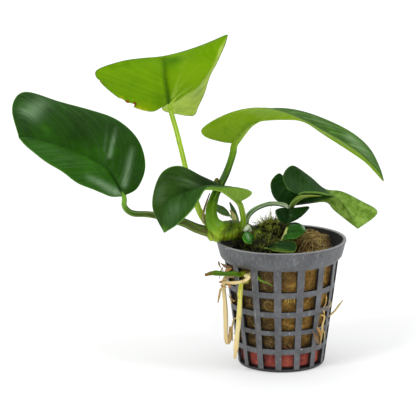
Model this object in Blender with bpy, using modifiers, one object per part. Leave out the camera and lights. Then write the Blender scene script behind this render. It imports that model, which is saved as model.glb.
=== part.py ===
"""Anubias plant in a small net pot: pot, clay disc, mineral wool plug, rhizome, leaves on their
petioles, moss and aerial roots. Run with blender --background --python part.py."""

import math

import bmesh
import bpy
import numpy as np
from mathutils import Vector

MM = 0.001  # metres in a millimetre: every size below is in millimetres

# The net pot
COLUMNS = 15  # openings round the wall
COLUMN_STEP = 360 / COLUMNS
FIRST_COLUMN = -65.8  # degrees from the front towards +X
OPENING_HALF = 8.0  # degrees
ROWS = ((1.9, 8.0), (10.4, 16.5), (18.5, 24.5), (26.9, 33.0), (35.5, 45.0))
POT_WALL = 1.2
WALL_RADIUS_BOTTOM = 18.2
WALL_FLARE = 7.0 / 53.4  # radius gained for each millimetre of height
FOOT = ((7.0, 0.0), (13.5, 0.0), (16.8, 0.0), (17.9, 0.9))  # radius and height, centre to edge
COLLAR = ((25.6, 46.6), (27.2, 52.7), (27.3, 53.4))
FOOT_BRIDGES = 3  # every third column bridges the ring of slots in the base

# What the pot holds
CLAY = {"bottom": 2.2, "top": 8.4, "radius": 15.9, "edge": 0.8}
WOOL_BOTTOM = 9.2
WOOL_TOP = 46.6
WOOL_CLEARANCE = 1.0  # between the wool and the wall
WOOL_LUMP = ((13, 7, 43), (7.9, 10, 10.6))  # centre of its foot, half sizes and height

GAP = 0.3  # between pieces that touch
ROOT_REACH = 1.8  # a root is this far outside the wall before it turns
BLADE_THICK = 0.8
BLADE_ROWS = 11
BLADE_COLUMNS = 6

# Each blade is spanned between its midrib and its two margins, from the petiole to the tip.
LEFT_LEAF = {
    "mid": ((-65.5, -9, 74), (-67.5, -7.5, 77.5), (-70, -5, 81.5), (-73, -3, 85), (-78.5, -1, 88),
            (-85.5, 0, 91), (-92.5, -1, 94), (-99.5, -3, 96.5), (-104, -6, 98.5), (-108, -9, 99)),
    "one": ((-65.5, -9, 74), (-59.5, -6, 77), (-56.5, 1, 85), (-59.5, 8, 94.5), (-68.5, 13, 102),
            (-81, 16, 106.5), (-94, 16, 110), (-107.5, 12, 114.5), (-111.5, 2, 109.5), (-108, -9, 99)),
    "two": ((-65.5, -9, 74), (-70, -10, 74), (-74, -12, 76), (-78, -14, 78), (-83, -16, 81),
            (-88.5, -17, 85), (-94, -16.5, 88.5), (-99.5, -15, 92.5), (-105, -12, 96), (-108, -9, 99)),
}
TOP_LEAF = {
    "mid": ((-46.5, 4, 111), (-44.5, 3, 112), (-42, 2, 113.5), (-39, 1, 115.5), (-35, 0, 118),
            (-32, -2, 122), (-29, -4, 126.5), (-27, -6, 130.5), (-25.5, -8, 135.5), (-22, -10, 141)),
    "one": ((-46.5, 4, 111), (-49.5, 2, 109), (-54, -1, 108), (-63, -6, 112), (-73, -12, 121),
            (-75.5, -15, 127.5), (-65, -18, 131.5), (-48.5, -20, 133.5), (-33.5, -17, 137.5),
            (-22, -10, 141)),
    "two": ((-46.5, 4, 111), (-49.5, 9, 107.5), (-45.5, 13, 105), (-36.5, 15, 103), (-34.5, 14, 108),
            (-31, 11, 115), (-28.5, 6, 123), (-26, 0, 129.5), (-23, -6, 136), (-22, -10, 141)),
}
ARCHING_LEAF = {
    "mid": ((-19.5, -2, 94.5), (-17.5, -2, 96.5), (-15.5, -1.5, 99), (-13, -1, 102), (-8.5, 0, 104),
            (1, 0, 104.5), (9.5, 0, 103.5), (18, -1, 98), (26.5, -2, 92.5), (34.5, -3, 87), (39, -4, 82.5),
            (42.5, -5, 78.5)),
    "one": ((-19.5, -2, 94.5), (-23.5, 2, 95.5), (-28, 6, 97.5), (-28, 9, 99.5), (-22, 12, 103),
            (-12.5, 13, 105.5), (0, 13, 106.5), (13.5, 12, 104), (28, 10, 98), (36.5, 5, 91.5),
            (41, 0, 83.5),
            (42.5, -5, 78.5)),
    "two": ((-19.5, -2, 94.5), (-25, -5, 96), (-31, -9, 99), (-32.5, -11, 101.5), (-26.5, -14, 106.5),
            (-17.5, -15, 110.5), (-7.5, -15, 111.5), (4, -14, 108.5), (20.5, -13, 99), (31.5, -10, 91.5),
            (38, -7, 85), (42.5, -5, 78.5)),
}
FRONT_LEAF = {
    "mid": ((-17.5, -11, 71.5), (-19, -12, 72.5), (-22, -13, 75), (-25.5, -14.5, 77.5), (-30, -16, 78.5),
            (-35.5, -18, 78.5), (-41, -20, 77.5), (-46, -22, 75), (-49, -24, 69.5), (-48.5, -25, 62)),
    "one": ((-17.5, -11, 71.5), (-17, -9, 73.5), (-17, -8, 75.5), (-21, -8, 76.5), (-26, -9, 78.5),
            (-32.5, -10, 82.5), (-42, -11, 87), (-50, -14, 84), (-53.5, -20, 72.5), (-48.5, -25, 62)),
    "two": ((-17.5, -11, 71.5), (-14.5, -14, 74), (-12.5, -17, 77), (-17.5, -20, 79), (-25, -22, 80.5),
            (-30.5, -25, 80.5), (-34, -28, 76.5), (-38, -29, 71.5), (-42.5, -28, 66.5), (-48.5, -25, 62)),
}
FOLDED_LEAF = {
    "mid": ((7.5, 1, 72), (8.5, 0.5, 72.5), (10, 0, 73), (12, -0.5, 73), (15.5, -1, 73), (19, -2, 72.5),
            (22.5, -3, 72), (25.5, -4.5, 70), (27.5, -6, 67.5), (29.5, -8, 63.5), (31.5, -10, 59.5)),
    "one": ((7.5, 1, 72), (3.5, 4, 73.5), (1, 7, 77.5), (2.5, 9, 81), (6, 10, 82.5), (12.5, 9, 78),
            (18.5, 6, 73), (25.5, 2, 73), (33, -3, 70), (40, -6, 65.5), (31.5, -10, 59.5)),
    "two": ((7.5, 1, 72), (2.5, 7, 74), (0, 12, 79), (-4, 13, 74.5), (-2.5, 13, 68), (3, 12, 65),
            (11.5, 9, 66), (19, 4, 68), (22, 0, 65.5), (26.5, -5, 62.5), (31.5, -10, 59.5)),
}
DARK_LEAF = {
    "mid": ((3, 1, 66), (3, 0.5, 65.5), (3, -0.5, 64), (3, -2, 63), (2.5, -3, 61.5), (1.5, -4, 60.5)),
    "one": ((3, 1, 66), (0, 0, 66.5), (-2.5, -2, 66), (-2, -3, 64), (-1, -4, 62), (1.5, -4, 60.5)),
    "two": ((3, 1, 66), (7.5, 2, 66), (12, 2, 66.5), (10, 0, 64), (6, -2, 61.5), (1.5, -4, 60.5)),
}
GLOSSY_LEAF = {
    "mid": ((1.4, -5, 55.6), (3.1, -5, 56.9), (4.8, -5, 57.6), (6.8, -5.5, 58), (8.7, -6, 58.1),
            (10.3, -6, 57.9)),
    "one": ((1.4, -5, 55.6), (2.2, -2, 59.4), (4.4, 0, 60.2), (7.1, 0.5, 59.8), (9.1, -1, 59.1),
            (10.3, -6, 57.9)),
    "two": ((1.4, -5, 55.6), (0.5, -8, 54.8), (2.5, -10, 55.3), (5.4, -10.5, 55.7), (7.9, -9, 56.7),
            (10.3, -6, 57.9)),
}
RIM_LEAF = {
    "mid": ((-6.8, -14.5, 52.8), (-4.7, -15, 53.3), (-2.3, -15.5, 53.6), (0.6, -16, 53.8),
            (3.4, -16.5, 53.6),
            (5.8, -17, 53.3)),
    "one": ((-6.8, -14.5, 52.8), (-4.7, -12.5, 54.2), (-2.1, -11, 54.7), (0.8, -11, 54.9), (3.6, -12, 55),
            (5.8, -17, 53.3)),
    "two": ((-6.8, -14.5, 52.8), (-5.2, -16.5, 52.4), (-2.8, -18.5, 52.2), (0, -20, 52.3), (2.8, -21, 52.4),
            (5.8, -17, 53.3)),
}
BACK_LEAF = {
    "mid": ((-20.9, 6, 61.8), (-23, 7.5, 62.8), (-25.1, 9, 63.8), (-27.2, 10.5, 64.8), (-28.9, 12, 65.3)),
    "one": ((-20.9, 6, 61.8), (-22.6, 9, 64), (-24.7, 11, 65.1), (-26.8, 12.5, 65.4), (-28.9, 12, 65.3)),
    "two": ((-20.9, 6, 61.8), (-23, 6, 61.8), (-25.1, 7.5, 62.2), (-27.2, 9, 63.4), (-28.9, 12, 65.3)),
}
YOUNG_LEAF = {
    "mid": ((-14.5, -11, 59), (-14, -12.5, 57.5), (-13, -14, 56), (-12, -15, 54.5)),
    "one": ((-14.5, -11, 59), (-12, -10, 58), (-11, -11, 56), (-12, -15, 54.5)),
    "two": ((-14.5, -11, 59), (-15.5, -13, 57), (-14.5, -15.5, 55.5), (-12, -15, 54.5)),
}

# Stems: points on the axis, with the radius there as the fourth number
RHIZOME = ((-31, -7.2, 57.8, 3.2), (-28, -7, 58, 4.1), (-24.5, -6.3, 58.2, 4.2), (-20, -5, 58.3, 4.3),
           (-15, -4, 57.2, 3.8), (-9, -2.5, 54, 3.2), (-3, -1, 51.2, 2.8), (2.5, 0, 50, 2.2))
STEMS = {
    "left_petiole": ((-64.9, -9, 72.6, 1.1), (-65.5, -9, 70.5, 1.1), (-64, -9, 68, 1.2),
                     (-61, -9, 66.5, 1.3),
                     (-54, -9, 66, 1.3), (-42, -9, 63, 1.8), (-35.5, -8.5, 60, 2.0), (-31, -7.5, 58, 2.1)),
    "top_petiole": ((-46.1, 3.8, 109.6, 1.05), (-43.5, 2, 99.5, 1.05), (-41.5, 0, 91.5, 1.05),
                    (-39, -1.5, 81, 1.15), (-35.5, -2.5, 69.5, 1.3), (-33, -3.5, 64, 1.5),
                    (-29, -4.5, 59, 1.8)),
    "arching_petiole": ((-19.8, -2.2, 92.8, 1.4), (-20.2, -3, 90, 1.4), (-22.5, -4.5, 83.5, 1.45),
                        (-25, -6, 78.5, 1.55), (-27.5, -7, 74, 1.75), (-29.2, -8, 68, 2.3),
                        (-28.9, -8.2, 63.5, 2.6), (-26.5, -7.4, 60.5, 3.2)),
    "front_petiole": ((-17.3, -10.9, 70.2, 1.15), (-16.5, -10.5, 67.5, 1.15), (-16, -9.5, 63.5, 1.2),
                      (-16.5, -7, 60, 1.5)),
    "folded_petiole": ((6.9, 1.1, 70.7, 1.1), (5.6, 2, 68.6, 1.1), (4.2, 3.6, 65.5, 1.1), (2.8, 5, 61, 1.1),
                       (1.4, 4.4, 56, 1.1), (0.4, 2, 51, 1.2)),
    "dark_petiole": ((1.7, 1.6, 67.1, 0.95), (-2.5, 2.8, 67.7, 0.95), (-6.5, 2.6, 67.3, 0.95),
                     (-11.5, 0, 65.6, 1.0), (-14.4, -2.6, 62.8, 1.1), (-15, -4, 59, 1.3)),
    "glossy_petiole": ((0.6, -4.8, 54.9, 0.7), (0.2, -4.6, 53.6, 0.75), (-1.2, -3.2, 51, 0.8)),
    "rim_petiole": ((-7.6, -14.4, 52.6, 0.5), (-9.2, -13, 52.3, 0.55), (-10, -9, 52.2, 0.6),
                    (-9.6, -4.4, 52.8, 0.7)),
    "back_petiole": ((-20.3, 5.4, 61, 0.7), (-18.6, 3.6, 59.6, 0.85), (-17.6, -1, 58.4, 0.9)),
    "young_spike": ((-21.5, 3, 68.5, 0.35), (-20.2, 2.6, 65.5, 0.9), (-19.2, 1.4, 62.8, 1.1),
                    (-18.4, -1, 60, 1.2)),
    "young_petiole": ((-14.2, -10.1, 59.9, 0.8), (-13.2, -8.6, 60, 1.2), (-12.6, -6, 58, 1.4)),
}
SCALES = {
    "dry_sheath": ((-21.4, -0.6, 66, 0.35), (-20.2, -1, 64, 0.7), (-19.6, -1.6, 62.6, 0.8),
                   (-19.2, -3, 60.4, 0.8)),
    "sheath_stub": ((-26.9, -6.6, 80.9, 0.5), (-27.6, -7, 78.2, 0.6)),
    "brown_membrane": ((-29.9, -5, 74.4, 0.3), (-31.3, -5.3, 70.6, 0.35), (-32.5, -6.1, 66, 0.45),
                       (-32.3, -6.6, 63, 0.55)),
}

# Roots: the opening they leave the wall by (degrees from the front, and height), how far they rise on
# the way through it, their radius, then points on the axis
ROOTS = {
    "green_shoot": (-45.5, 42.4, 0, 1.0, ((-19.5, -22, 43.9), (-24, -22.2, 44), (-28.5, -21, 44),
                                          (-32, -20, 43))),
    "loop_root": (-37.2, 42.6, 0, 0.6,
                  ((-14, -23.6, 42.8), (-16.2, -24.6, 41.4), (-20.5, -23.4, 40.4), (-25, -19.8, 40))),
    "long_root": (-42, 39.3, 0, 0.95,
                  ((-17.6, -21.4, 36.5), (-17.7, -20.6, 32.5), (-18, -19.8, 27), (-18.4, -19.2, 21.5),
                   (-19, -18.7, 16), (-19.4, -18.3, 11), (-20, -18, 6.5))),
    "hooked_root": (-66.4, 39.6, 0, 0.9,
                    ((-24.4, -12.6, 36.5), (-23.9, -13.6, 30), (-23.6, -13.6, 21.5), (-23.6, -13.4, 15.5),
                     (-23, -13, 12.2), (-22, -12.4, 13.4), (-21.6, -12, 18.5))),
    "short_root": (-62, 37.2, 0, 0.45, ((-25.4, -10.4, 34.5), (-26.2, -10.6, 31.5), (-26.8, -10.6, 28.5))),
    "thin_root": (-60, 21.8, 0, 0.35, ((-20.8, -12.9, 19.5), (-21, -13, 16), (-20.8, -12.9, 12.5))),
    "straw_root": (78.2, 19.4, 3.2, 0.4, ((24, -3.8, 24.9), (25.9, -3, 27.1))),
    "tendril_root": (-23.4, 41.8, 0, 0.4, ((-10.4, -25, 43.2), (-9.6, -25.6, 42), (-6.8, -25.4, 40.8),
                                           (-4.4, -25.2, 39.6))),
    "wall_root": (48.6, 23.6, 0, 0.4, ((16.6, -15.3, 19.6), (16.2, -14.8, 15), (15.6, -14.4, 10.5))),
}

# Mounds of moss: centre of the foot, half sizes and height
MOSS_MOUNDS = (
    ((-3.6, 3.5, 47.2), (9.8, 11, 17.5)),
    ((-9, -10.5, 47.2), (11, 8, 8.5)),
    ((-16, -6.5, 47.2), (5.5, 6.5, 7.5)),
)
MOSS_NEIGHBOURS = ("folded_petiole", "dark_petiole", "glossy_petiole", "rim_petiole", "front_petiole",
                   "young_petiole", "young_spike", "dry_sheath", "back_petiole")


def clear_scene():
    for obj in list(bpy.data.objects):
        bpy.data.objects.remove(obj, do_unlink=True)


def new_collection(name):
    collection = bpy.data.collections.new(name)
    bpy.context.scene.collection.children.link(collection)
    return collection


def new_material(name, colour, roughness):
    material = bpy.data.materials.new(name)
    material.use_nodes = True
    shader = material.node_tree.nodes["Principled BSDF"]
    shader.inputs["Base Color"].default_value = (*colour, 1)
    shader.inputs["Roughness"].default_value = roughness
    shader.inputs["Metallic"].default_value = 0
    return material


def add_object(name, data, collection, material):
    obj = bpy.data.objects.new(name, data)
    data.materials.append(material)
    collection.objects.link(obj)
    return obj


def modify(obj, kind, **settings):
    modifier = obj.modifiers.new(kind.lower(), kind)
    for key, value in settings.items():
        setattr(modifier, key, value)
    return modifier


def smooth_path(points, count):
    """Points at even steps on the Catmull-Rom curve through the given ones."""
    points = np.array(points, float)
    ends = np.vstack([2 * points[0] - points[1], points, 2 * points[-1] - points[-2]])
    place = np.linspace(0, len(points) - 1, count)
    index = np.minimum(place.astype(int), len(points) - 2)
    t = (place - index)[:, None]
    p0, p1, p2, p3 = (ends[index + k] for k in range(4))
    return 0.5 * (2 * p1 + (p2 - p0) * t + (2 * p0 - 5 * p1 + 4 * p2 - p3) * t**2
                  + (3 * p1 - p0 - 3 * p2 + p3) * t**3)


def wall_radius(z):
    return WALL_RADIUS_BOTTOM + WALL_FLARE * z


def round_point(angle, radius, z):
    """The point at this angle from the front, turning towards +X."""
    turn = math.radians(angle)
    return (radius * math.sin(turn), -radius * math.cos(turn), z)


def net_pot(collection, material):
    """An open surface of bars and bands, thickened inwards."""
    profile = [*FOOT]
    for low, high in ROWS:
        profile += [(wall_radius(low), low), (wall_radius(high), high)]
    profile += COLLAR
    angles = []
    for column in range(COLUMNS):
        centre = FIRST_COLUMN + COLUMN_STEP * column
        angles += [centre - OPENING_HALF, centre, centre + OPENING_HALF]
    mesh = bmesh.new()
    rings = [[mesh.verts.new(Vector(round_point(a, r, z)) * MM) for a in angles] for r, z in profile]
    mesh.faces.new(reversed(rings[0]))
    first_row = len(FOOT)
    for level in range(len(profile) - 1):
        row = level - first_row
        in_row = 0 <= row < 2 * len(ROWS) and row % 2 == 0
        for i in range(len(angles)):
            column, part = divmod(i, 3)
            opening = in_row and part < 2
            slot = level == 0 and (column % FOOT_BRIDGES != 0)
            if opening or slot:
                continue
            j = (i + 1) % len(angles)
            mesh.faces.new((rings[level][i], rings[level][j], rings[level + 1][j], rings[level + 1][i]))
    bmesh.ops.recalc_face_normals(mesh, faces=mesh.faces)
    data = bpy.data.meshes.new("net_pot")
    mesh.to_mesh(data)
    mesh.free()
    pot = add_object("net_pot", data, collection, material)
    modify(pot, "SOLIDIFY", thickness=POT_WALL * MM, offset=-1, use_even_offset=True)
    return pot


def turned(name, profile, steps, collection, material):
    """A closed profile of radius and height, from the axis down the outside and back to the axis."""
    mesh = bmesh.new()
    points = [mesh.verts.new((r * MM, 0, z * MM)) for r, z in profile]
    for a, b in zip(points, points[1:]):
        mesh.edges.new((a, b))
    data = bpy.data.meshes.new(name)
    mesh.to_mesh(data)
    mesh.free()
    obj = add_object(name, data, collection, material)
    modify(obj, "SCREW", steps=steps, render_steps=steps, use_merge_vertices=True, merge_threshold=0.0001)
    return obj


def clay_disc(collection, material):
    low, high, radius, edge = CLAY["bottom"], CLAY["top"], CLAY["radius"], CLAY["edge"]
    profile = ((0, high), (radius - edge, high), (radius + 0.4, high - edge), (radius, low + edge),
               (radius - edge, low), (0, low))
    return turned("clay_disc", profile, 32, collection, material)


def wool_plug(collection, cutters, material):
    """A turned plug, with a lump on its top that rises on the right."""
    def side(z):
        return wall_radius(z) - POT_WALL - WOOL_CLEARANCE

    profile = ((0, WOOL_TOP), (12, WOOL_TOP - 0.3), (18, WOOL_TOP - 1.2), (21, WOOL_TOP - 3.5),
               (side(38), 38), (side(24), 24), (side(WOOL_BOTTOM + 1), WOOL_BOTTOM + 1),
               (side(WOOL_BOTTOM) - 1, WOOL_BOTTOM), (0, WOOL_BOTTOM))
    plug = turned("wool_plug", profile, 32, collection, material)
    lump = half_ball("wool_lump", *WOOL_LUMP, cutters, material)
    modify(plug, "BOOLEAN", object=as_cutter(lump), operation="UNION", solver="EXACT")
    return plug


def blade(name, leaf, collection, material, grow=0.0):
    """The surface spanned between a midrib and two margins, thickened."""
    mid, one, two = (smooth_path(leaf[key], BLADE_ROWS) for key in ("mid", "one", "two"))
    across = np.linspace(-1, 1, BLADE_COLUMNS + 1)
    mesh = bmesh.new()
    rows = []
    for m, a, b in zip(mid, one, two):
        row = [m + (a - m) * -s if s < 0 else m + (b - m) * s for s in across]
        rows.append([mesh.verts.new(Vector(p) * MM) for p in row])
    for low, high in zip(rows, rows[1:]):
        for k in range(BLADE_COLUMNS):
            mesh.faces.new((low[k], low[k + 1], high[k + 1], high[k]))
    bmesh.ops.remove_doubles(mesh, verts=mesh.verts, dist=1e-6)
    bmesh.ops.recalc_face_normals(mesh, faces=mesh.faces)
    data = bpy.data.meshes.new(name)
    mesh.to_mesh(data)
    mesh.free()
    obj = add_object(name, data, collection, material)
    modify(obj, "SOLIDIFY", thickness=(BLADE_THICK + 2 * grow) * MM, offset=0)
    return obj


def tube(name, points, count, collection, material, grow=0.0, resolution=2):
    """A round tube along a smooth path; the fourth number of a point is the radius there."""
    path = smooth_path(points, count)
    curve = bpy.data.curves.new(name, "CURVE")
    curve.dimensions = "3D"
    curve.bevel_depth = MM
    curve.bevel_resolution = resolution
    curve.use_fill_caps = True
    spline = curve.splines.new("POLY")
    spline.points.add(count - 1)
    for point, (x, y, z, radius) in zip(spline.points, path):
        point.co = (x * MM, y * MM, z * MM, 1)
        point.radius = radius + grow
    return add_object(name, curve, collection, material)


def as_mesh(obj):
    """The curve as a mesh object, with its caps welded."""
    graph = bpy.context.evaluated_depsgraph_get()
    data = bpy.data.meshes.new_from_object(obj.evaluated_get(graph))
    mesh = bmesh.new()
    mesh.from_mesh(data)
    bmesh.ops.remove_doubles(mesh, verts=mesh.verts, dist=1e-6)
    bmesh.ops.recalc_face_normals(mesh, faces=mesh.faces)
    mesh.to_mesh(data)
    mesh.free()
    name, place, collection = obj.name, obj.matrix_world.copy(), obj.users_collection[0]
    bpy.data.objects.remove(obj, do_unlink=True)
    made = bpy.data.objects.new(name, data)
    made.matrix_world = place
    collection.objects.link(made)
    return made


def as_cutter(obj):
    obj.hide_render = True
    obj.display_type = "WIRE"
    return obj


def cut(obj, cutter):
    modify(obj, "BOOLEAN", object=cutter, operation="DIFFERENCE", solver="EXACT")


def root(name, angle, height, rise, radius, points, collection, material):
    """A root that starts at the wool, leaves through an opening and hangs outside the wall."""
    inner = wall_radius(height) - POT_WALL - WOOL_CLEARANCE + GAP
    outer = wall_radius(height) + ROOT_REACH
    start = [round_point(angle, inner, height), round_point(angle, outer, height + rise)]
    route = [(*p, radius) for p in (*start, *points)]
    route[-1] = (*route[-1][:3], radius * 0.55)
    return tube(name, route, 3 * len(route), collection, material, resolution=1)


def half_ball(name, centre, size, collection, material):
    """The upper half of a squashed ball, with a flat foot."""
    mesh = bmesh.new()
    bmesh.ops.create_uvsphere(mesh, u_segments=16, v_segments=10, radius=1)
    below = [v for v in mesh.verts if v.co.z < -0.01]
    bmesh.ops.delete(mesh, geom=below, context="VERTS")
    bmesh.ops.holes_fill(mesh, edges=[e for e in mesh.edges if e.is_boundary])
    for vert in mesh.verts:
        swell = 1 + 0.05 * math.sin(5 * vert.co.x + 3 * vert.co.y)
        vert.co = (size[0] * vert.co.x * swell, size[1] * vert.co.y * swell, size[2] * vert.co.z)
    bmesh.ops.translate(mesh, vec=centre, verts=mesh.verts)
    bmesh.ops.scale(mesh, vec=(MM, MM, MM), verts=mesh.verts)
    bmesh.ops.recalc_face_normals(mesh, faces=mesh.faces)
    data = bpy.data.meshes.new(name)
    mesh.to_mesh(data)
    mesh.free()
    return add_object(name, data, collection, material)


def moss(parts, cutters, material, around):
    """Mounds joined in one body, then cut clear of the stems and leaves that grow through it."""
    body, *others = [
        half_ball(f"moss_{i}", centre, size, cutters if i else parts, material)
        for i, (centre, size) in enumerate(MOSS_MOUNDS)
    ]
    body.name = "moss"
    for other in others:
        modify(body, "BOOLEAN", object=as_cutter(other), operation="UNION", solver="EXACT")
    cut(body, around)
    for name in MOSS_NEIGHBOURS:
        points = {**STEMS, **SCALES}[name]
        stem = tube(name + "_cutter", points, 2 * len(points) - 1, cutters, material, GAP, 1)
        cut(body, as_cutter(as_mesh(stem)))
    for name, leaf in (("dark", DARK_LEAF), ("glossy", GLOSSY_LEAF), ("young", YOUNG_LEAF),
    ("rim", RIM_LEAF)):
        cut(body, as_cutter(blade(name + "_cutter", leaf, cutters, material, GAP)))
    return body


def main():
    clear_scene()
    parts = new_collection("anubias_in_net_pot")
    cutters = new_collection("cutters")
    plastic = new_material("grey_polypropylene", (0.15, 0.15, 0.16), 0.6)
    clay = new_material("fired_clay", (0.39, 0.07, 0.04), 0.85)
    wool = new_material("mineral_wool", (0.20, 0.13, 0.04), 0.95)
    stem = new_material("green_stem", (0.20, 0.42, 0.03), 0.4)
    old_leaf = new_material("old_leaf", (0.03, 0.13, 0.01), 0.35)
    new_leaf = new_material("new_leaf", (0.16, 0.33, 0.01), 0.35)
    dry = new_material("dry_sheath", (0.30, 0.20, 0.08), 0.7)
    root_skin = new_material("root_skin", (0.70, 0.56, 0.25), 0.5)
    green_moss = new_material("green_moss", (0.10, 0.15, 0.02), 0.9)

    net_pot(parts, plastic)
    clay_disc(parts, clay)
    wool_plug(parts, cutters, wool)
    tube("rhizome", RHIZOME, 14, parts, stem)
    around = as_cutter(as_mesh(tube("rhizome_cutter", RHIZOME, 14, cutters, stem, grow=GAP)))
    for name, points in {**STEMS, **SCALES}.items():
        skin = dry if name in SCALES else stem
        piece = as_mesh(tube(name, points, 2 * len(points) - 1, parts, skin, resolution=1))
        cut(piece, around)
    leaves = {
        "left_blade": (LEFT_LEAF, old_leaf),
        "top_blade": (TOP_LEAF, new_leaf),
        "arching_blade": (ARCHING_LEAF, old_leaf),
        "front_blade": (FRONT_LEAF, old_leaf),
        "folded_blade": (FOLDED_LEAF, old_leaf),
        "dark_blade": (DARK_LEAF, old_leaf),
        "glossy_blade": (GLOSSY_LEAF, old_leaf),
        "rim_blade": (RIM_LEAF, old_leaf),
        "back_blade": (BACK_LEAF, old_leaf),
        "young_blade": (YOUNG_LEAF, new_leaf),
    }
    for name, (leaf, skin) in leaves.items():
        blade(name, leaf, parts, skin)
    for name, (angle, height, rise, radius, points) in ROOTS.items():
        root(name, angle, height, rise, radius, points, parts, root_skin)
    moss(parts, cutters, green_moss, around)


main()
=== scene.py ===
# Potted anubias: the finished look of every piece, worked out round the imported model.
# Lengths in the dictionaries are millimetres and angles are degrees, unless a note says otherwise.
import math
from functools import partial

import bpy
import numpy as np
from mathutils import Matrix, Vector


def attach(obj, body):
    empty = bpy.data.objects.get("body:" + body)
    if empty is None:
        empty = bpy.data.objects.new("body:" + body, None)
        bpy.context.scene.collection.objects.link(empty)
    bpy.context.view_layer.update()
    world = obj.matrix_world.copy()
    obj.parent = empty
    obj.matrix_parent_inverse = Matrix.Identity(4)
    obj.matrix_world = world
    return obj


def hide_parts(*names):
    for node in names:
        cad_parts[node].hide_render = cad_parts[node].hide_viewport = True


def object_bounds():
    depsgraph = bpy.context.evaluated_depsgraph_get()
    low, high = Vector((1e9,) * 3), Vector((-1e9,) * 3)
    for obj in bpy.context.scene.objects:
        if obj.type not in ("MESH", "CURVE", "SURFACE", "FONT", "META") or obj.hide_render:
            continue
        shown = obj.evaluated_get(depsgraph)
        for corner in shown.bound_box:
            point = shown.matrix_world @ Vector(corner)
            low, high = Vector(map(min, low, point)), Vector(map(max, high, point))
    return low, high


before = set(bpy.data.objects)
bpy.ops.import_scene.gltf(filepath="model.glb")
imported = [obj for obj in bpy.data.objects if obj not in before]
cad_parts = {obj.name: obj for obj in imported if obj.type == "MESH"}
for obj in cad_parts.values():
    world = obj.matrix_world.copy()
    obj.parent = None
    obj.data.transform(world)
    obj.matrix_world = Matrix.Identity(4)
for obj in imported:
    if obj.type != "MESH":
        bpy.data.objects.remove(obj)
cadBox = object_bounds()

mm = 0.001
nodeKinds = {  # a plain name: the node, the sockets filled in order, the output that is read, its settings
    "place": ("TexCoord", (), "Object", {}),
    "number": ("Attribute", (), "Fac", {}),
    "noise": ("TexNoise", (0,), 0, {}),
    "spots": ("TexVoronoi", (0,), 0, {}),
    "stretch": ("Mapping", (0,), 0, {}),
    "ramp": ("ValToRGB", (0,), 0, {}),
    "mix": ("Mix", (0, 6, 7), 2, {"data_type": "RGBA"}),
    "climb": ("MapRange", range(5), 0, {"interpolation_type": "SMOOTHSTEP"}),
    "times": ("Math", (0, 1), 0, {"operation": "MULTIPLY"}),
    "plus": ("Math", (0, 1), 0, {"operation": "ADD"}),
    "larger": ("Math", (0, 1), 0, {"operation": "MAXIMUM"}),
    "sine": ("Math", (0,), 0, {"operation": "SINE"}),
    "distance": ("VectorMath", (0, 1), "Value", {"operation": "DISTANCE"}),
    "height": ("SeparateXYZ", (0,), "Z", {}),
    "relief": ("Bump", (), 0, {}),
    "shader": ("BsdfPrincipled", (), 0, {}),
    "output": ("OutputMaterial", (0,), 0, {}),
}


def toLinear(hexColour):
    # sRGB to linear: a straight foot below 0.04045 and a power of 2.4 above it
    channels = np.array([int(hexColour[i:i + 2], 16) for i in (0, 2, 4)]) / 255
    curved = np.where(channels > 0.04045, ((channels + 0.055) / 1.055) ** 2.4, channels / 12.92)
    return (*curved.tolist(), 1.0)


def addNode(tree, kind, *inputs, size=None, read=None, stops=(), **named):
    # One node and its links, handing back the output that is read. The inputs follow the order of its
    # sockets; of the named ones, a capital starts a socket and a small letter a setting. A socket takes a
    # number, a hex colour or another node's output; size is the width in millimetres of one blotch.
    blenderName, order, usual, settings = nodeKinds[kind]
    node = tree.nodes.new("ShaderNode" + blenderName)
    sockets = dict(zip(order, inputs))
    if size:
        sockets["Scale"] = 1 / (size * mm)
    for key, value in {**settings, **named}.items():
        if key[0].isupper():
            sockets[key] = value
        else:
            setattr(node, key, value)
    for key, value in sockets.items():
        if isinstance(value, bpy.types.NodeSocket):
            tree.links.new(value, node.inputs[key])
        else:
            node.inputs[key].default_value = toLinear(value) if isinstance(value, str) else value
    for i, (place, colour) in enumerate(stops):
        stop = node.color_ramp.elements[i] if i < 2 else node.color_ramp.elements.new(place)
        stop.position = place
        stop.color = toLinear(colour)
    return node.outputs[usual if read is None else read] if node.outputs else node


def newSkin(name):
    # an empty material, and the way to add nodes to it
    skin = bpy.data.materials.new(name)
    skin.use_nodes = True
    skin.node_tree.nodes.clear()
    return skin, partial(addNode, skin.node_tree)


def finishSkin(skin, base, bump=None, **values):
    # the shader with its colour, relief and values, joined to the material's output
    if bump:
        values["Normal"] = bump
    shader = addNode(skin.node_tree, "shader", **{"Base Color": base}, **values)
    addNode(skin.node_tree, "output", shader)
    return skin


def painted(add, base, *coats):
    # coats of colour laid one over another, each as thick as its first value: where that comes with
    # numbers, it climbs along a smooth S from the first to the second, and gives the third to the fourth
    for (value, *climb), colour in coats:
        base = add("mix", add("climb", value, *climb) if climb else value, base, colour)
    return base


def fullTurn(count):
    # evenly spaced angles once round
    return np.linspace(0, 2 * math.pi, count, endpoint=False)


def smoothPath(points, count, low=0.0, high=1.0):
    # Catmull-Rom cubic: between two points the curve depends on them and their neighbours
    points = np.array(points, float)
    ends = np.vstack([2 * points[0] - points[1], points, 2 * points[-1] - points[-2]])
    place = np.linspace(low, high, count) * (len(points) - 1)
    index = np.minimum(place.astype(int), len(points) - 2)
    t = (place - index)[:, None]
    p0, p1, p2, p3 = (ends[index + k] for k in range(4))
    return 0.5 * (2 * p1 + (p2 - p0) * t + (2 * p0 - 5 * p1 + 4 * p2 - p3) * t**2
                  + (3 * p1 - p0 - 3 * p2 + p3) * t**3)


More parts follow.
